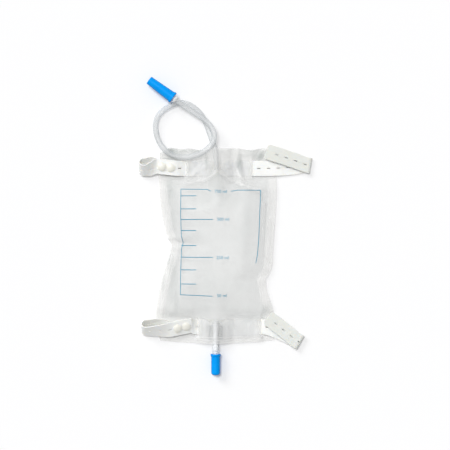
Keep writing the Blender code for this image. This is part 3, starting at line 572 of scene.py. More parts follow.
def weldHeight(x, y):
    soft = bag["slitWidth"] / 2 + blends["besideSlit"] * np.maximum(fromStrap(y) - slitReach, 0.0)
    raised = smoothStep(x - slitX(0, y), -soft, soft) * smoothStep(slitX(1, y) - x, -soft, soft)
    low = bag["film"] + bag["gap"] / 2
    flange = low + (strapHeight(x, y) + bag["overStrap"] - low) * raised
    start, end = (bag["sleeveWidth"] + reach for reach in blends["besideHose"])
    flange = bag["portHeight"] + (flange - bag["portHeight"]) * smoothStep(np.abs(x - hoseX(y)), start, end)
    edge = smoothStep(np.minimum(*sideGaps(x, y)), 0.0, bag["flange"])
    side = bag["weldHeight"] - blends["sideDrop"] * (1 - edge)
    low, high, fade = bag["chamberBottom"], bag["chamberTop"], blends["endWeld"]
    share = smoothStep(y, low, low + fade) * (1 - smoothStep(y, high - fade, high))
    return flange + (side - flange) * share


def weldDistances(x, y, reach):
    funnel = np.exp(-(((x - hoseX(y)) / blends["funnelWidth"]) ** 2)) * reach
    sides = [gap - bag["flange"] for gap in sideGaps(x, y)]
    return *sides, bag["chamberTop"] + funnel - y, y - bag["chamberBottom"] + funnel


def chamberShare(x, y, shoulder, endShoulder, reach=0.0):
    share = np.ones_like(x)
    for distance, width in zip(weldDistances(x, y, reach), (shoulder, shoulder, endShoulder, endShoulder)):
        share = share * np.sin(math.pi / 2 * np.clip(distance / width, 0.0, 1.0))
    return share


folds = {
    "lumps": (0.0007, 0.062, 0.6),         # height, pitch and seed of the slow waves over the whole film
    "backLumps": (0.00035, 0.018, 8.0),    # the same for the back film's flanges
    "seamDepth": 0.00022, "seamWidth": 0.0016, "sideSeam": 0.22, "seamMeet": 0.004,
    "funnelCrease": (0.0020, 0.8), "sideCrease": (0.0012, 0.9), "endLine": (0.0006, 0.8),
    "shoulderDrop": 0.0140,                # how far the end welds curve down towards the sides
    "endLines": (0.0040, 0.0066),          # two pressed lines above the bottom edge
    "pinch": {"middle": 0.0015, "lean": 0.02, "depth": 0.55, "width": 0.008, "reach": 0.030},
    "kink": {"middle": -0.0425, "lean": -0.10, "depth": 0.35, "width": 0.012, "reach": 0.026},
}
sidePuckers = {     # small folds that run in from the side welds, and waves of the flange outside
    "height": 0.00055, "pitch": 0.0135, "reach": 0.013, "lean": 0.2, "start": 0.004,
    "waveHeight": 0.00030, "wavePitch": 0.034, "waveLean": 0.4, "waveSeed": 4, "waveStart": (0.001, 0.006),
}
endPuckers = {      # the longer ones that run in from both ends
    "height": 0.0008, "pitch": 0.0170, "reach": 0.024, "lean": 0.25, "start": 0.006,
    "waveHeight": 0.00040, "wavePitch": 0.016, "waveLean": 0.5, "waveSeed": 3, "waveStart": (0.002, 0.010),
}


def waves(x, y, pitch, seed):
    total = np.zeros_like(x)
    for i in range(4):
        turn = seed * 1.7 + i * 2.399
        size = 2 * math.pi / pitch * (0.7 + 0.35 * i)
        total += np.sin((x * math.cos(turn) + y * math.sin(turn)) * size + seed * 3.1 + i * 1.3) / (1.4 + i)
    return total


def ridge(x, y, start, end, width, height):
    start, end = np.array(start) * mm, np.array(end) * mm
    run = end - start
    long = np.hypot(*run)
    t = ((x - start[0]) * run[0] + (y - start[1]) * run[1]) / long**2
    off = ((x - start[0]) * run[1] - (y - start[1]) * run[0]) / long
    fade = np.exp(-(np.maximum(np.abs(t - 0.5) - 0.5, 0.0) * long / (2 * width)) ** 2)
    return height * np.exp(-((off / width) ** 2)) * fade * np.clip(1.25 - 0.6 * t, 0, 1)


frontRidges = (   # start and end in millimetres, width and height in metres, of the folds that stand out
    ((-56, 4.0), (-36, 3.0), 0.0022, -0.0034), ((-58, 8.5), (-34, 10.5), 0.0032, 0.0012),
    ((-58, -2.5), (-33, -6.0), 0.0032, 0.0014), ((-48, 3.0), (-24, 18.0), 0.0040, 0.0006),
    ((58, -36.0), (40, -33.0), 0.0035, -0.0016), ((60, -29.0), (38, -22.0), 0.0040, 0.0010),
    ((60, -44.0), (40, -50.0), 0.0045, 0.0012),
    ((27, 118.0), (33, 78.0), 0.0032, 0.0022), ((19, 118.0), (21, 84.0), 0.0026, -0.0010),
    ((36, 112.0), (52, 78.0), 0.0030, 0.0010), ((-10, 112.0), (-28, 88.0), 0.0020, 0.0008),
    ((-30, 112.0), (-16, 84.0), 0.0022, 0.0009), ((-44, 116.0), (-56, 100.0), 0.0030, 0.0012),
    ((9, 106.0), (38, 74.0), 0.0026, 0.0012), ((-9, 100.0), (-40, 80.0), 0.0026, 0.0011),
    ((-64, 118.0), (-52, 112.0), 0.0030, 0.0014), ((60, 118.0), (50, 108.0), 0.0035, 0.0012),
    ((12, -86.0), (30, -112.0), 0.0026, 0.0007), ((-12, -86.0), (-20, -112.0), 0.0026, 0.0006),
    ((48, -84.0), (34, -68.0), 0.0050, 0.0010), ((-56, -80.0), (-44, -64.0), 0.0045, 0.0009),
)


def puckered(distance, across, seed, look):
    wave = waves(across, distance * look["lean"], look["pitch"], seed)
    fade = np.exp(-np.maximum(distance, 0) / look["reach"]) * smoothStep(distance, 0.0, look["start"])
    flange = waves(across, distance * look["waveLean"], look["wavePitch"], seed + look["waveSeed"])
    outside = smoothStep(-distance, *look["waveStart"])
    return look["height"] * wave * fade + look["waveHeight"] * flange * outside


def fineFolds(x, y):
    distances = weldDistances(x, y, 0.0)
    size, pitch, seed = folds["lumps"]
    height = size * waves(x, y, pitch, seed) * smoothStep(np.minimum.reduce(distances), 0.0, 0.02)
    kinds = ((y, 1.0, sidePuckers), (y, 2.3, sidePuckers), (x, 3.7, endPuckers), (x, 5.2, endPuckers))
    for distance, (across, seed, look) in zip(distances, kinds):
        height = height + puckered(distance, across, seed, look)
    return height


sideCreases = (   # millimetres: painted highlight along the edges of the side welds where they stand up
    ((-55.2, -14.0), (-59.0, -31.0), (-63.7, -55.0), (-66.4, -76.0), (-66.8, -86.0)),
    ((60.5, 52.0), (59.5, 20.0), (58.6, -6.0), (59.0, -26.0)), ((66.8, 30.0), (66.6, 4.0), (65.6, -22.0)),
)
funnelPaths = (   # painted highlight along the creases that spread from the hose over the shoulders
    ((-1.0, 91.0), (-7.0, 85.0), (-15.0, 81.5), (-27.0, 79.0), (-38.0, 77.5)),
    ((6.0, 90.0), (13.0, 84.0), (26.0, 77.5), (40.0, 72.5), (54.0, 66.5)),
    ((27.0, 93.0), (30.0, 86.0), (36.0, 79.5)),
)


# weld lines, pressed end lines and creases: they sink shallow grooves in the front film, and as a mask they
# paint the weld lines light and a painted highlight along the creases
def seamAndHighlightLines(x, y):
    left, right, top, bottom = weldDistances(x, y, bag["funnel"])
    width, meet = folds["seamWidth"], folds["seamMeet"]
    shoulder = folds["shoulderDrop"] * ((x - hoseX(y)) / 0.06) ** 2
    ends = np.minimum(top - shoulder, bottom - 0.5 * shoulder)
    inner = -meet * np.log(sum(np.exp(-distance / meet) for distance in (left, right, ends)))
    lines = folds["sideSeam"] * np.exp(-(((inner + width) / width) ** 2))
    for paths, kind in ((funnelPaths, "funnelCrease"), (sideCreases, "sideCrease")):
        for path in paths:
            for start, end in zip(path, path[1:]):
                lines = np.maximum(lines, ridge(x, y, start, end, *folds[kind]))
    for offset in folds["endLines"]:
        away = (y - bag["bottom"] - offset) / folds["endLine"][0]
        lines = np.maximum(lines, folds["endLine"][1] * np.exp(-(away**2)))
    return lines


filmPaintedShades = (    # centre and reach in millimetres, and strength, of the painted shade laid where the film falls dark in folds, creases and along its edges
    (-55, 116, 12, 7, 0.65), (-32, 118, 15, 5, 0.60), (29, 104, 3.5, 15, 0.55), (56, 112, 7, 9, 0.6),
    (-44, -106, 20, 5, 0.20), (-12, 104, 2.0, 9, 0.5), (14, 90, 10, 8, 0.06), (38, 30, 7, 60, 0.10),
    (44, -92, 16, 5, 0.22), (-60, -88, 10, 5, 0.25), (-56, 60, 3, 40, 0.12), (-50, -60, 3, 26, 0.3),
    (30, -112, 26, 3, 0.12), (64, -80, 8, 7, 0.35),
    (44, 113, 24, 6, 0.30), (38, 119, 24, 3, 0.40), (-55, 30, 5, 32, 0.18), (-54, -42, 5, 32, 0.30),
    (-7, -107, 3.5, 9, 0.12), (6.5, -107, 3.5, 9, 0.08), (-58, 66, 5, 16, 0.40), (0, -80, 60, 9, 0.12),
    (-61, 107, 9, 4, 0.60), (-58, -22, 4, 14, 0.35), (-66, -45, 4, 14, 0.35), (-15, -104, 9, 8, 0.14),
    (34, -104, 18, 7, 0.08), (6, 60, 34, 14, 0.16), (0, -55, 36, 20, 0.10),
)


# painted shade: how strongly the film is darkened towards the shade colour at each point
def paintedShades(x, y):
    total = np.zeros_like(x)
    for centreX, centreY, reachX, reachY, strength in filmPaintedShades:
        away = ((x - centreX * mm) / (reachX * mm)) ** 2 + ((y - centreY * mm) / (reachY * mm)) ** 2
        total = np.maximum(total, strength * np.exp(-away))
    return total * np.clip(0.8 + 0.25 * waves(x, y, 0.019, 2.2), 0.3, 1.3)


# painted light: where a strap lies under the film, the film is painted lighter, standing in for the lit
# strap showing through
def strapLightMask(x, y):
    look = blends["strapLight"]
    across = smoothStep(bag["strapWidth"] / 2 - fromStrap(y), *look["edge"])
    return smoothStep(insideSlits(x, y), *look["slit"]) * across * smoothStep(
        np.abs(x - hoseX(y)), *look["hose"])


def keepClear(x, y):      # folds fade where the film lies on the hose, the port or a strap
    look, edge = blends["calm"], bag["strapWidth"] / 2
    hose = smoothStep(np.abs(x - hoseX(y)), *look["hose"])
    under = smoothStep(insideSlits(x, y), *look["slit"])
    beside = smoothStep(fromStrap(y), edge, edge + look["edge"])
    return np.where(np.abs(y) > look["ends"], hose * np.maximum(beside, under), 1.0)


def dent(y, distance, look):
    off = (y - look["middle"] - look["lean"] * distance) / look["width"]
    return look["depth"] * np.exp(-(off**2) - (distance / look["reach"]) ** 2)


def frontHeight(x, y):
    base = weldHeight(x, y) + bag["gap"] / 2 + sleeveHeight(x - hoseX(y))
    share = chamberShare(x, y, *blends["frontShoulder"], bag["funnel"])
    height = np.maximum(bag["film"] + bag["depth"] - base, 0.0) * share
    for gap, look in zip(sideGaps(x, y), (folds["pinch"], folds["kink"])):
        height = height * (1 - dent(y, gap, look))
    detail = fineFolds(x, y)
    for start, end, width, rise in frontRidges:
        detail = detail + ridge(x, y, start, end, width, rise)
    detail = detail * keepClear(x, y)
    detail = np.where(share < 0.02, np.maximum(detail, -0.0002) * 0.9, detail)
    return base + height + detail - folds["seamDepth"] * seamAndHighlightLines(x, y)


def backHeight(x, y):
    base = np.maximum(weldHeight(x, y) - bag["gap"] / 2 - sleeveHeight(x - hoseX(y)), bag["film"])
    height = base + (bag["film"] - base) * chamberShare(x, y, *blends["backShoulder"])
    size, pitch, seed = folds["backLumps"]
    detail = size * waves(x, y, pitch, seed) * keepClear(x, y)
    return np.maximum(height + np.minimum(detail, 0.0) * smoothStep(base, 0.001, 0.003), bag["film"])


def spread(anchors, cells):
    values = [anchors[0]]
    for start, end, count in zip(anchors, anchors[1:], cells):
        values += [start + (end - start) * (i + 1) / count for i in range(count)]
    return values


filmCells = {     # how many cells lie between the lines that the grid has to follow
    "rows": (8, 20, 5, 135, 5, 20, 14), "columns": (10, 22, 2, 26, 9, 9, 36, 2, 12, 10),
    "nearHose": 0.0085, "nearEnd": 0.014,
}


def filmGrid(fine):
    near, half = filmCells["nearHose"], bag["slitWidth"] / 2
    rows = spread(
        (bag["bottom"], bag["lowerStrapY"] - slitReach, bag["lowerStrapY"] + slitReach,
         bag["chamberBottom"] + filmCells["nearEnd"], bag["chamberTop"] - filmCells["nearEnd"],
         bag["upperStrapY"] - slitReach, bag["upperStrapY"] + slitReach, bag["top"]),
        [round(count * fine) for count in filmCells["rows"]])
    grid = []
    for y in rows:
        left, right = float(edgeX(leftLine, y)), float(edgeX(rightLine, y))
        first, middle, second = float(slitX(0, y)), float(hoseX(y)), float(slitX(1, y))
        flangeRight = right - min(bag["flange"], 0.85 * (right - second - half))
        columns = spread(
            (left, left + bag["flange"], first - half, first + half, middle - near, middle, middle + near,
             second - half, second + half, flangeRight, right),
            [max(2, round(count * fine)) for count in filmCells["columns"]])
        grid.append([(x, y) for x in columns])
    return np.array(grid)


def inSlit(x, y):
    slits = bag["upperSlits"] if y > 0 else bag["lowerSlits"]
    return fromStrap(y) < slitReach and any(abs(x - slit) < bag["slitWidth"] / 2 for slit in slits)


def endShift(x, y):      # the bottom edge sags in the middle, the top edge waves and drops at its left
    half = bag["width"] / 2
    down = np.maximum((bag["chamberBottom"] - y) / (bag["chamberBottom"] - bag["bottom"]), 0.0)
    up = smoothStep(y, bag["upperStrapY"] + slitReach, bag["top"])
    corner = bag["cornerDrop"] * up * smoothStep(-endWaves["corner"] * half - x, 0.0, endWaves["fade"])
    wave = sum(height * np.sin(x * rate + start) for height, rate, start in endWaves["waves"])
    wave = wave * smoothStep(y, endWaves["from"], bag["top"])
    return wave - corner - bag["bottomSag"] * np.maximum(1 - (x / half) ** 2, 0.0) * down


def filmPiece(name, heightOf, fine, offset, material):
    grid = filmGrid(fine)
    x, y = grid[..., 0], grid[..., 1]
    inner = np.minimum.reduce(weldDistances(x, y, bag["funnel"]))
    places = np.stack([x, y + endShift(x, y), heightOf(x, y)], axis=-1)
    # the flange mask paints the welded margin lighter: partly its own tone, partly a painted highlight
    # along the side welds
    masks = {"flange": smoothStep(-inner, -0.001, 0.003), "strapLight": strapLightMask(x, y),
             "paintedShade": paintedShades(x, y), "seamAndHighlight": seamAndHighlightLines(x, y)}
    bm = bmesh.new()
    layers = {mask: bm.verts.layers.float.new(mask) for mask in filmMasks}
    verts = {}
    for at in np.ndindex(x.shape):
        verts[at] = bm.verts.new(places[at])
        for mask, layer in layers.items():
            verts[at][layer] = float(masks[mask][at])
    for row, column in np.ndindex(x.shape[0] - 1, x.shape[1] - 1):
        if not inSlit(*(grid[row, column] + grid[row + 1, column + 1]) / 2):
            corners = ((row, column), (row, column + 1), (row + 1, column + 1), (row + 1, column))
            bm.faces.new([verts[corner] for corner in corners])
    loose = [vert for vert in bm.verts if not vert.link_faces]
    bmesh.ops.delete(bm, geom=loose, context="VERTS")
    return makePiece(name, bm, material, sheet=(bag["film"], offset, False), shade=60)


frontFilm = filmPiece("frontFilmSheet", frontHeight, 1.15, 1.0, materials["frontFilm"])
backFilm = filmPiece("backFilmSheet", backHeight, 0.6, -1.0, materials["backFilm"])
print("films:", len(frontFilm.data.polygons), len(backFilm.data.polygons), "faces")


# Non-return valve flaps inside the bag, below the hose
valve = {"film": 0.0003, "width": 0.0200, "length": 0.0300, "lap": 0.0060, "columns": 40, "rows": 60}


def valveFlap(name, side):
    top = hoseRoute[0][1] * mm + valve["lap"]
    radius = hoseSettings["radius"] + 2.2 * bag["gap"]
    bm = bmesh.new()
    bmesh.ops.create_grid(bm, x_segments=valve["columns"], y_segments=valve["rows"], size=0.5)
    for vert in bm.verts:
        across, share = vert.co.x * valve["width"], 0.5 - vert.co.y
        y = top - valve["length"] * share
        swell = 1 - float(smoothStep(share, valve["lap"] / valve["length"], 1.0))
        rise = bag["gap"] / 2 + swell * float(sleeveHeight(across, radius, valve["width"] / 2))
        flutter = 0.00012 * math.sin(across * 900 + side) * share
        vert.co = (float(hoseX(y)) + across, y, bag["portHeight"] + side * (rise + abs(flutter)))
    return makePiece(name, bm, materials["valveFilm"], sheet=(valve["film"], side, False), shade=60)


valveFront = valveFlap("valveFlapFront", 1)
valveBack = valveFlap("valveFlapBack", -1)


# Leg straps: laid flat as a grid with open slots, then bent along the same route as the model's
strapLook = {
    "width": 0.0190, "thickness": 0.0013, "corner": 0.0035, "layerGap": 0.0008, "edgeRound": 0.00032,
    "slotLength": 0.0045, "slotWidth": 0.0012, "slotPitch": 0.0124, "slotTaper": 0.0005, "slotTip": 0.45,
    "studPitch": 0.0112, "studMargin": 0.0006, "paintedFoldShadeEnd": 0.0560, "paintedFoldShadeFade": 0.008,
    "step": 0.0016, "cornerRows": (0.0, 0.0002, 0.0006, 0.0012, 0.0022), "edgeColumn": 0.0004,
    "columns": (0.0080, 0.0062, 0.0044, 0.0028, 0.0014),
}
studLook = {
    "head": 0.0054, "headHeight": 0.0022, "base": 0.0040, "baseHeight": 0.0010, "stem": 0.0016,
    "gap": 0.0004, "dome": ((0.0, 0.0), (0.30, 0.00008), (0.58, 0.00035), (0.82, 0.00095)),
}


def station(x, y, z, width=(0.0, 1.0, 0.0)):
    return (x * mm, y * mm, z * mm, *Vector(width).normalized())


def stations(*rows):
    return [station(*row) for row in rows]


def tilted(degrees):
    tilt = math.radians(degrees)
    return (0.0, math.cos(tilt), math.sin(tilt))


def panel(first, heading):
    alongStrap, width = Vector(heading).normalized(), Vector(first[3:])
    up = alongStrap.cross(width).normalized()
    up = up if up.z > 0 else -up
    drop = up * (strapLook["thickness"] + strapLook["layerGap"])
    pitch = strapLook["studPitch"]
    margin = studLook["head"] + strapLook["studMargin"]
    steps = (-margin, -margin / 2, 0.0, pitch / 2, pitch, pitch + margin / 2, pitch + margin)
    tops = [Vector(first[:3]) + alongStrap * step for step in steps]
    front = [(*place, *width) for place in tops]
    rear = [(*(place - drop), *width) for place in reversed(tops)]
    return front, rear, ((tops[4], up), (tops[2], up))


def loop(entry, heading, away, radius, shift=0.0):
    steps = 6
    heading, away, width = Vector(heading).normalized(), Vector(away).normalized(), Vector(entry[3:])
    turns = [heading * math.sin(math.pi * step / steps) + away * (1 - math.cos(math.pi * step / steps))
             for step in range(steps + 1)]
    turns = [-heading * 0.6, *turns, away * 2 - heading * 0.6]
    path = []
    for number, move in enumerate(turns):
        slide = width * shift * min(max((number - 1) / steps, 0.0), 1.0)
        path.append((*(Vector(entry[:3]) + (move * radius + slide) * mm), *width))
    return path


def strapRows(length):      # cross lines at the round corners and at the slots, and even steps between
    look, half = strapLook, strapLook["slotLength"] / 2
    count = int((length - 2 * look["corner"]) / look["slotPitch"])
    first = (length - (count - 1) * look["slotPitch"]) / 2
    slots = [first + i * look["slotPitch"] for i in range(count)]
    ends = (*look["cornerRows"], look["corner"])
    marks = [*ends, *(length - mark for mark in ends)]
    for slot in slots:
        taper = look["slotTaper"]
        marks += [slot - half, slot - half + taper, slot, slot + half - taper, slot + half]
    marks = sorted(set(round(mark, 7) for mark in marks))
    cells = [max(1, math.ceil((end - start) / look["step"])) for start, end in zip(marks, marks[1:])]
    return spread(marks, cells), slots


def strapMesh(name, route):
    look = strapLook
    path, length = smoothPath(route, 0.0005)
    steps = np.linspace(0, length, len(path))
    widths = path[:, 3:6] / np.linalg.norm(path[:, 3:6], axis=1)[:, None]
    rows, slots = strapRows(length)
    corner, half = look["corner"], look["slotLength"] / 2
    edge, slotHalf = look["width"] / 2, look["slotWidth"] / 2
    outer = [edge, edge - look["edgeColumn"], *look["columns"], slotHalf]
    across = [-value for value in outer] + outer[::-1]
    bm = bmesh.new()
    paintedFoldShadeLayer = bm.verts.layers.float.new("paintedFoldShade")
    lines = []
    for s in rows:
        near = min(s, length - s)
        limit = edge - corner + math.sqrt(max(corner**2 - max(corner - near, 0.0) ** 2, 0.0))
        centre, width = (np.array([np.interp(s, steps, column) for column in part.T])
                         for part in (path[:, :3], widths))
        inSlotRow = any(abs(s - slot) <= half + 1e-6 for slot in slots)
        atTip = any(abs(abs(s - slot) - half) < 1e-5 for slot in slots)
        # painted shade: full over the strap's first stretch, where its end folds over, fading out after
        # that
        paintedFoldShade = 1 - float(smoothStep(s, look["paintedFoldShadeEnd"], look["paintedFoldShadeEnd"] + look["paintedFoldShadeFade"]))
        lines.append([])
        for w in across:
            place = w * limit / edge
            if inSlotRow and abs(abs(w) - slotHalf) < 1e-6:
                place = math.copysign(slotHalf * (look["slotTip"] if atTip else 1.0), w)
            vert = bm.verts.new(centre + width * place)
            vert[paintedFoldShadeLayer] = paintedFoldShade
            lines[-1].append(vert)
    for s, nextS, row, following in zip(rows, rows[1:], lines, lines[1:]):
        inSlotRow = any(abs((s + nextS) / 2 - slot) < half for slot in slots)
        for column in range(len(across) - 1):
            if not (inSlotRow and column == len(outer) - 1):
                bm.faces.new((row[column], following[column], following[column + 1], row[column + 1]))
    return makePiece(name, bm, materials["latex"], sheet=(look["thickness"], 0.0, True),
                     softEdge=(look["edgeRound"], math.radians(50)), shade=50)


def studPiece(name, point, direction):
    look = studLook
    top = strapLook["thickness"] / 2 + look["gap"]
    under = -1.5 * strapLook["thickness"] - strapLook["layerGap"] - look["gap"]
    crown = top + look["headHeight"]
    profile = [(share * look["head"], crown - drop) for share, drop in look["dome"]]
    profile += [
        (look["head"], top + 0.0009), (look["head"] - 0.0001, top), (look["stem"], top),
        (look["stem"], under), (look["base"], under), (look["base"], under - look["baseHeight"]),
        (0.0, under - look["baseHeight"]),
    ]
    return lathe(name, rounded(profile, 0.0005), 56, along(direction, point), materials["button"])


def behindFilm(y, slits):      # in through the right slit, behind the film and out through the left one
    high, low = bag["strapHigh"] / mm, bag["strapLow"] / mm
    left, right = slits[0] / mm, slits[1] / mm
    return stations(
        (right, y, high), (right - 7, y, (high + low) / 2), (right - 14, y, low), (right - 17, y, low),
        (0.0, y, low), (left + 17, y, low), (left + 14, y, low), (left + 7, y, (high + low) / 2),
        (left, y, high),
    )


def upperRoute():
    y, high = bag["upperStrapY"] / mm, bag["strapHigh"] / mm
    slant, crease = (0.317, 0.948, 0.0), (0.161, 0.987, 0.0)
    front, rear, places = panel(station(-56.4, y + 0.9, 6.0, tilted(4)), (-11.2, 1.2, 0.2))
    return (
        *stations((62.5, 116.8, 8.4, slant), (81.3, 110.8, 7.0, slant), (100.0, 104.7, 5.4, slant)),
        *loop(station(116.2, 99.4, 4.7, crease), (0.987, -0.161, 0), (0, 0, -1), 1.85),
        *stations((100.0, 97.6, 1.0), (90.0, 96.6, 1.2), (79.0, 96.0, high), (62.0, y, high)),
        *behindFilm(y, bag["upperSlits"]), station(-44.4, y + 0.1, 4.1, tilted(1)),
        *front, station(-80.5, y - 0.4, 8.8, tilted(26)),
        *loop(station(-91.0, y - 2.6, 11.6, tilted(48)), (-1, 0, 0), (0, 0.743, -0.669), 4.3, 3.5),
        station(-80.5, y + 5.4, 6.4, tilted(26)), *rear[:-1],
    ), places


def lowerRoute():
    y, high = bag["lowerStrapY"] / mm, bag["strapHigh"] / mm
    slant, crease = (0.611, 0.791, 0.0), (0.499, 0.867, 0.0)
    front, rear, places = panel(station(-36.9, y + 0.6, 7.2, tilted(18)), (-11.0, -2.2, 0.9))
    return (
        *stations((64.2, -90.0, 8.6, slant), (77.0, -100.0, 7.4, slant), (90.0, -110.2, 6.6, slant)),
        *loop(station(103.0, -120.4, 6.2, crease), (0.867, -0.499, 0), (0, 0, -1), 2.4),
        station(88.0, -112.8, 1.5, (0.43, 0.9, 0)), station(74.0, -106.0, high, (0.33, 0.94, 0)),
        station(65.0, -103.0, high, (0.17, 0.985, 0)),
        *behindFilm(y, bag["lowerSlits"]), station(-28.8, y + 0.5, 4.4, tilted(8)),
        *front, station(-64.0, y - 4.2, 9.9, tilted(32)), station(-76.0, y - 4.8, 10.9, tilted(46)),
        *loop(station(-88.2, y - 5.2, 11.4, tilted(54)), (-1, 0, 0), (0, 0.809, -0.588), 4.0, 4.5),
        station(-76.0, y + 4.0, 9.4, tilted(46)), station(-64.0, y + 1.8, 7.9, tilted(32)), *rear[:-1],
    ), places


routes = {"upper": upperRoute(), "lower": lowerRoute()}      # each strap's stations and its buttons' places
straps = {strapName: strapMesh(strapName + "StrapLatex", route[0]) for strapName, route in routes.items()}
studs = {}
for strapName, route in routes.items():
    for number, (point, direction) in enumerate(route[1], 1):
        studs[f"{strapName}_stud_{number}"] = studPiece(f"{strapName}Button{number}", point, direction)
print("straps:", [len(strap.data.polygons) for strap in straps.values()], "faces;", len(studs), "buttons")


# Inlet connector and its cap
connector = {
    "bore": 0.0018, "collar": 0.0043, "ring": 0.0050, "neck": 0.0040,
    "steps": ((0.0084, 0.0042), (0.0082, 0.0037), (0.0082, 0.0032)),
}
inletCapLook = {
    "length": 0.0374, "mouth": 0.0074, "body": 0.0065, "tip": 0.0053, "rim": 0.0024, "end": 0.0045,
}


def connectorPiece():
    neck = connector["neck"]
    outer = [
        (connector["collar"], 0.0), (connector["collar"], 0.28 * neck), (connector["ring"], 0.36 * neck),
        (connector["ring"], 0.70 * neck), (connector["collar"] - 0.0003, 0.80 * neck),
    ]
    at = neck
    for length, radius in connector["steps"]:
        outer += [(radius - 0.0004, at), (radius, at + 0.0006)]
        at += length
        outer.append((radius * 0.93, at - 0.0004))
    outer.append((connector["bore"] + 0.0004, at))
    profile = rounded([(connector["bore"], at), *outer[::-1], (connector["bore"], 0.0)], 0.0002, 3)
    return lathe("inletConnectorMilky", profile, 64, along(pinAxis, pinStart + pinAxis * bag["gap"]),
                 materials["milky"], closed=True)


def inletCapPiece():
    look = inletCapLook
    mouth = bag["gap"] + connector["neck"] + bag["gap"]
    first, last = connector["steps"][0], connector["steps"][-1]
    bore, boreEnd = first[1] + bag["gap"], last[1] * 0.93 + bag["gap"]
    depth = look["length"] - look["end"]
    profile = [
        (0.0, look["length"] - 0.0003), (0.55 * look["tip"], look["length"] - 0.0002),
        (look["tip"] - 0.0005, look["length"]), (look["tip"], look["length"] - 0.0006),
        (look["body"], look["rim"] + 0.0012), (look["mouth"] - 0.0002, look["rim"]), (look["mouth"], 0.0),
        (bore, 0.0), (bore, first[0] + 0.0004), (boreEnd, depth), (0.0, depth),
    ]
    return lathe("inletCapBlue", rounded(profile, 0.0004), 72, along(pinAxis, pinStart + pinAxis * mouth),
                 materials["blue"])


# Outlet port, its ladder of rungs, inner tube and cap
port = {
    "radius": 0.0042, "bore": 0.0034, "top": -0.0965, "end": -0.1505, "ribs": 4, "ribPitch": 0.0022,
    "ribHeight": 0.0006, "ladderReach": 0.0090, "ladderTop": -0.0995, "ladderPitch": 0.0032,
    "rungs": 6, "bar": 0.0011, "rungSlant": -22.0,     # the outer ends hang down
    "tubeBore": 0.0020, "tubeEnd": -0.1310,
}
outletCapLook = {
    "top": -0.1358, "length": 0.0264, "radius": 0.0055, "rimRadius": 0.0063, "rim": 0.0024, "end": 0.0030,
}


def portPlace(y):
    return along((0.0, -1.0, 0.0), (bag["portX"], y, bag["portHeight"]))


def portPiece():
    length = port["top"] - port["end"]
    ribsEnd = port["top"] - outletCapLook["top"] - 0.0008
    pitch, low, high = port["ribPitch"], port["radius"] - port["ribHeight"], port["radius"] + 0.0002
    outer = [(port["radius"], 0.0)]
    for number in range(port["ribs"]):
        middle = ribsEnd - (port["ribs"] - number - 0.5) * pitch
        outer += [(low, middle - 0.45 * pitch), (high, middle - 0.2 * pitch), (high, middle + 0.2 * pitch)]
    outer += [(low, ribsEnd), (port["radius"] - 0.0003, length)]
    profile = rounded([(port["bore"], length), *outer[::-1], (port["bore"], 0.0)], 0.00025, 3)
    return lathe("outletPortClear", profile, 64, portPlace(port["top"]), materials["clear"], closed=True)


def makeRungTree():
    tree, given, identifiers = newTree("portRungs", "GeometryNodeTree", {
        "Rungs": "Int", "Pitch": "Float", "Reach": "Float", "Bar": "Float", "Slant": "Float",
        "Start": "Vector", "Material": "Material",
    }, {"Geometry": "Geometry"})
    step = put(tree, "ShaderNodeCombineXYZ", {"Y": calculate(tree, "MULTIPLY", given["Pitch"], -1.0)})
    line = put(tree, "GeometryNodeMeshLine", {
        "Count": given["Rungs"], "Start Location": given["Start"], "Offset": step})
    size = put(tree, "ShaderNodeCombineXYZ", {"X": given["Reach"], "Y": given["Bar"], "Z": given["Bar"]})
    rung = put(tree, "GeometryNodeMeshCube", {
        "Size": size, "Vertices X": 4, "Vertices Y": 4, "Vertices Z": 4})
    turn = put(tree, "ShaderNodeCombineXYZ", {"Z": given["Slant"]})
    rungs = put(tree, "GeometryNodeInstanceOnPoints", {"Points": line, "Instance": rung, "Rotation": turn})
    finishTree(tree, rungs, given["Material"])
    return tree, identifiers


def ladderPiece():
    tree, identifiers = makeRungTree()
    inner = (port["radius"] + port["bore"]) / 2
    reach, long = port["ladderReach"] - inner, port["rungs"] * port["ladderPitch"]
    bm = bmesh.new()
    for side in (-1, 1):
        x, y = bag["portX"] + side * (inner + reach / 2), port["ladderTop"] - 0.5 * port["ladderPitch"]
        rungs = runTree(addObject("rungSide", bpy.data.meshes.new("rungSide")), tree, identifiers, {
            "Rungs": port["rungs"], "Pitch": port["ladderPitch"], "Reach": reach, "Bar": port["bar"],
            "Slant": math.radians(port["rungSlant"]) * side, "Start": (x, y, bag["portHeight"]),
            "Material": materials["rung"]})
        bm.from_mesh(rungs.data)
        bpy.data.objects.remove(rungs)
    for side in (-1, 1):
        rail = bmesh.ops.create_cube(bm, size=1.0)["verts"]
        bmesh.ops.scale(bm, vec=(port["bar"] * 0.8, long, port["bar"] * 0.7), verts=rail)
        x = bag["portX"] + side * (port["ladderReach"] - port["bar"])
        bmesh.ops.translate(bm, vec=(x, port["ladderTop"] - long / 2, bag["portHeight"]), verts=rail)
    return makePiece("outletPortLadder", bm, materials["rung"], softEdge=(0.00022, math.radians(30)))


def innerTubePiece():
    length = port["top"] - port["tubeEnd"]
    radius, bore = port["bore"] - bag["gap"], port["tubeBore"]
    profile = rounded([(bore, length), (radius, length), (radius, -0.002), (bore, -0.002)], 0.0002, 3)
    return lathe("outletInnerTube", profile, 48, portPlace(port["top"]), materials["whiteTube"],
                 closed=True)


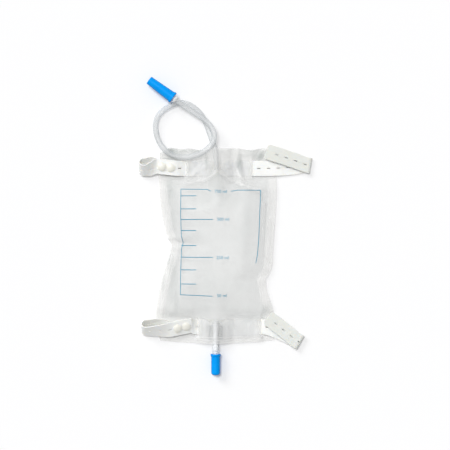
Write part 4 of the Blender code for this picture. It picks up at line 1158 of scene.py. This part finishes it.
def outletCapPiece():
    look = outletCapLook
    bore, depth = port["radius"] + bag["gap"], look["length"] - look["end"]
    profile = [
        (0.0, look["length"]), (0.50 * look["radius"], look["length"] - 0.0002),
        (0.80 * look["radius"], look["length"] - 0.0009), (0.95 * look["radius"], look["length"] - 0.0020),
        (look["radius"], look["length"] - 0.0034), (look["radius"], look["rim"] + 0.0008),
        (look["rimRadius"], look["rim"]), (look["rimRadius"], 0.0), (bore, 0.0), (bore, depth),
        (0.0, depth),
    ]
    return lathe("outletCapBlue", rounded(profile, 0.00045), 72, portPlace(look["top"]), materials["blue"])


inletConnector = connectorPiece()
inletCap = inletCapPiece()
outletPort = portPiece()
outletLadder = ladderPiece()
innerTube = innerTubePiece()
outletCap = outletCapPiece()
print("ports, connector and caps made")


# Printed scale: ink lines drawn as paths above the film and dropped onto it
ink = {
    "lift": 0.00006, "line": 0.00080, "tick": 0.00090, "thickness": 0.00008, "letter": 0.0056,
    "step": 0.0009, "edge": 0.0008, "above": 0.04,
}
photoOrigin, pixel = (216.0, 245.0), 1.25


def fromPhoto(x, y):
    return ((x - photoOrigin[0]) * pixel * mm, (photoOrigin[1] - y) * pixel * mm, ink["above"])


outlinePaths = (
    ((207.0, 189.6), (181.2, 189.3), (181.0, 215.0), (181.6, 236.0), (183.4, 242.5), (181.6, 249.0),
     (181.0, 270.0), (180.7, 294.2), (196.0, 294.8), (212.5, 295.6)),
    ((207.0, 189.6), (211.0, 191.4)),
    ((231.0, 191.6), (237.0, 190.4), (260.5, 190.4), (259.3, 220.0), (258.5, 240.0), (257.2, 255.0),
     (255.6, 263.0)),
)
shortTicks = (196.0, 209.0, 230.5, 245.4, 269.5, 283.5)
longTicks = (219.5, 257.0)
tickStart, tickPaths = 181.4, []
for tickEnd, heights in ((196.4, shortTicks), (213.0, longTicks)):
    tickPaths += [((tickStart, y), (tickEnd, y)) for y in heights]
numerals = (
    ("750 ml", 220.8, 191.8), ("500 ml", 223.2, 219.4), ("250 ml", 222.6, 257.4), ("50 ml", 222.0, 295.2),
)


def makeInkTree():
    tree, given, identifiers = newTree("inkOnFilm", "GeometryNodeTree", {
        "Geometry": "Geometry", "Film": "Object", "Width": "Float", "Thickness": "Float",
        "Lift": "Float", "Step": "Float", "Material": "Material",
    }, {"Geometry": "Geometry"})
    curve = put(tree, "GeometryNodeMeshToCurve", {"Mesh": given["Geometry"]})
    even = put(tree, "GeometryNodeResampleCurve", {"Curve": curve, "Length": given["Step"]}, mode="LENGTH")
    film = put(tree, "GeometryNodeObjectInfo", {"Object": given["Film"]}).outputs["Geometry"]
    drop = put(tree, "GeometryNodeRaycast", {
        "Target Geometry": film, "Ray Direction": (0.0, 0.0, -1.0), "Ray Length": 0.1}).outputs
    lift = put(tree, "ShaderNodeCombineXYZ", {"Z": given["Lift"]})
    raised = put(tree, "ShaderNodeVectorMath", {0: drop["Hit Position"], 1: lift}, operation="ADD")
    laid = put(tree, "GeometryNodeSetPosition", {
        "Geometry": even, "Selection": drop["Is Hit"], "Position": raised})
    flat = put(tree, "GeometryNodeSetCurveNormal", {"Curve": laid}, mode="Z_UP")
    profile = put(tree, "GeometryNodeCurvePrimitiveQuadrilateral", {
        "Width": given["Width"], "Height": given["Thickness"]})
    stroke = put(tree, "GeometryNodeCurveToMesh", {
        "Curve": flat, "Profile Curve": profile, "Fill Caps": True})
    finishTree(tree, stroke, given["Material"])
    return tree, identifiers


inkTree, inkIdentifiers = makeInkTree()


def inkLines(name, paths, width):
    bm = bmesh.new()
    for path in paths:
        verts = [bm.verts.new(fromPhoto(*point)) for point in path]
        for pair in zip(verts, verts[1:]):
            bm.edges.new(pair)
    obj = runTree(addObject(name, meshFromBmesh(name, bm)), inkTree, inkIdentifiers, {
        "Film": frontFilm, "Width": width, "Thickness": ink["thickness"], "Lift": ink["lift"],
        "Step": ink["step"], "Material": materials["ink"]})
    obj.data.materials.clear()
    obj.data.materials.append(materials["ink"])
    return obj


def inkNumerals(name):
    filmMesh = bmesh.new()
    filmMesh.from_mesh(frontFilm.data)
    tree = BVHTree.FromBMesh(filmMesh)
    filmMesh.free()
    bm = bmesh.new()
    for text, x, y in numerals:
        curve = bpy.data.curves.new(text, "FONT")
        curve.body = text
        curve.size = ink["letter"]
        curve.align_x = "CENTER"
        curve.align_y = "CENTER"
        curve.resolution_u = 3
        label = addObject(text, curve)
        mesh = bpy.data.meshes.new_from_object(label.evaluated_get(bpy.context.evaluated_depsgraph_get()))
        mesh.transform(Matrix.Translation(fromPhoto(x, y)))
        bm.from_mesh(mesh)
        bpy.data.objects.remove(label)
    bmesh.ops.triangulate(bm, faces=bm.faces)
    longEdges = [edge for edge in bm.edges if edge.calc_length() > ink["edge"]]
    bmesh.ops.subdivide_edges(bm, edges=longEdges, cuts=1)
    for vert in bm.verts:
        place, _, _, _ = tree.ray_cast(vert.co, Vector((0, 0, -1)))
        vert.co.z = place.z + ink["lift"]
    return makePiece(name, bm, materials["ink"], sheet=(ink["thickness"], 1.0, False), shade=None)


scaleOutline = inkLines("scaleOutlineInk", outlinePaths, ink["line"])
scaleTicks = inkLines("scaleTicksInk", tickPaths, ink["tick"])
scaleNumerals = inkNumerals("scaleNumeralsInk")
print("scale printed:", [len(piece.data.polygons) for piece in (scaleOutline, scaleTicks, scaleNumerals)])


# What each piece rides and which model node it stands for
def assign(piece, node=None, body="bag"):
    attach(piece, body)
    if node:
        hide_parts(node)


for piece, slot, node in (
        (frontFilm, "bag_film", "front_film"), (backFilm, "bag_film", "back_film"),
        (valveFront, "valve_film", "valve_front_flap"), (valveBack, "valve_film", "valve_back_flap"),
        (straps["upper"], "strap_rubber", "upper_strap"), (straps["lower"], "strap_rubber", "lower_strap"),
        (inletConnector, "clear_plastic", "inlet_connector"), (outletPort, "clear_plastic", "outlet_port"),
        (innerTube, "white_tube", "outlet_tube")):
    assign(piece, node)
for node, piece in studs.items():
    assign(piece, node)
assign(outletLadder)
for piece in (scaleOutline, scaleTicks, scaleNumerals):
    assign(piece)
for piece, node in ((inletCap, "inlet_cap"), (outletCap, "outlet_cap")):
    assign(piece, node, node + "_body")
assign(inletHose, "inlet_hose")


# Table top and studio light
stageLook = {
    "floor": (0.86, 0.86, 0.865), "glow": 0.10, "size": 3.0, "height": -0.0002, "world": 0.38,
    "lights": (     # name, where it shines from, strength, angle
        ("keyLight", (-0.20, 0.30, 1.00), 1.65, 18.0), ("lowLight", (-0.80, 0.80, 0.75), 0.95, 24.0),
    ),
}


def makeStage():
    material, tree, shader = newMaterial("tableTop")
    path = put(tree, "ShaderNodeLightPath").outputs
    seen = calculate(tree, "MAXIMUM", path["Is Camera Ray"], path["Is Transmission Ray"])
    fill(tree, shader, {
        "Base Color": (*stageLook["floor"], 1.0), "Roughness": 0.9, "Specular IOR Level": 0.0,
        "Emission Color": (1.0, 1.0, 1.0, 1.0),
        "Emission Strength": calculate(tree, "MULTIPLY", seen, stageLook["glow"]),
    })
    bm = bmesh.new()
    bmesh.ops.create_grid(bm, x_segments=1, y_segments=1, size=stageLook["size"] / 2)
    bmesh.ops.translate(bm, vec=(0, 0, stageLook["height"]), verts=bm.verts)
    addObject("tableTop", meshFromBmesh("tableTop", bm), material)
    world = bpy.data.worlds.new("studio")
    world.use_nodes = True
    sky = world.node_tree
    sight = put(sky, "ShaderNodeLightPath").outputs["Is Camera Ray"]
    strength = mapRange(sky, sight, 0.0, 1.0, stageLook["world"], 1.0)
    fill(sky, sky.nodes["Background"], {"Color": (1.0, 1.0, 1.0, 1.0), "Strength": strength})
    bpy.context.scene.world = world
    for name, place, energy, angle in stageLook["lights"]:
        lamp = bpy.data.lights.new(name, "SUN")
        lamp.energy = energy
        lamp.angle = math.radians(angle)
        light = bpy.data.objects.new(name, lamp)
        light.location = place
        light.rotation_euler = (-Vector(place)).to_track_quat("-Z", "Y").to_euler()
        bpy.context.scene.collection.objects.link(light)


makeStage()
bpy.context.scene.view_settings.view_transform = "Standard"
bpy.context.scene.cycles.transparent_max_bounces = 40    # films, hose and port lie in many clear layers
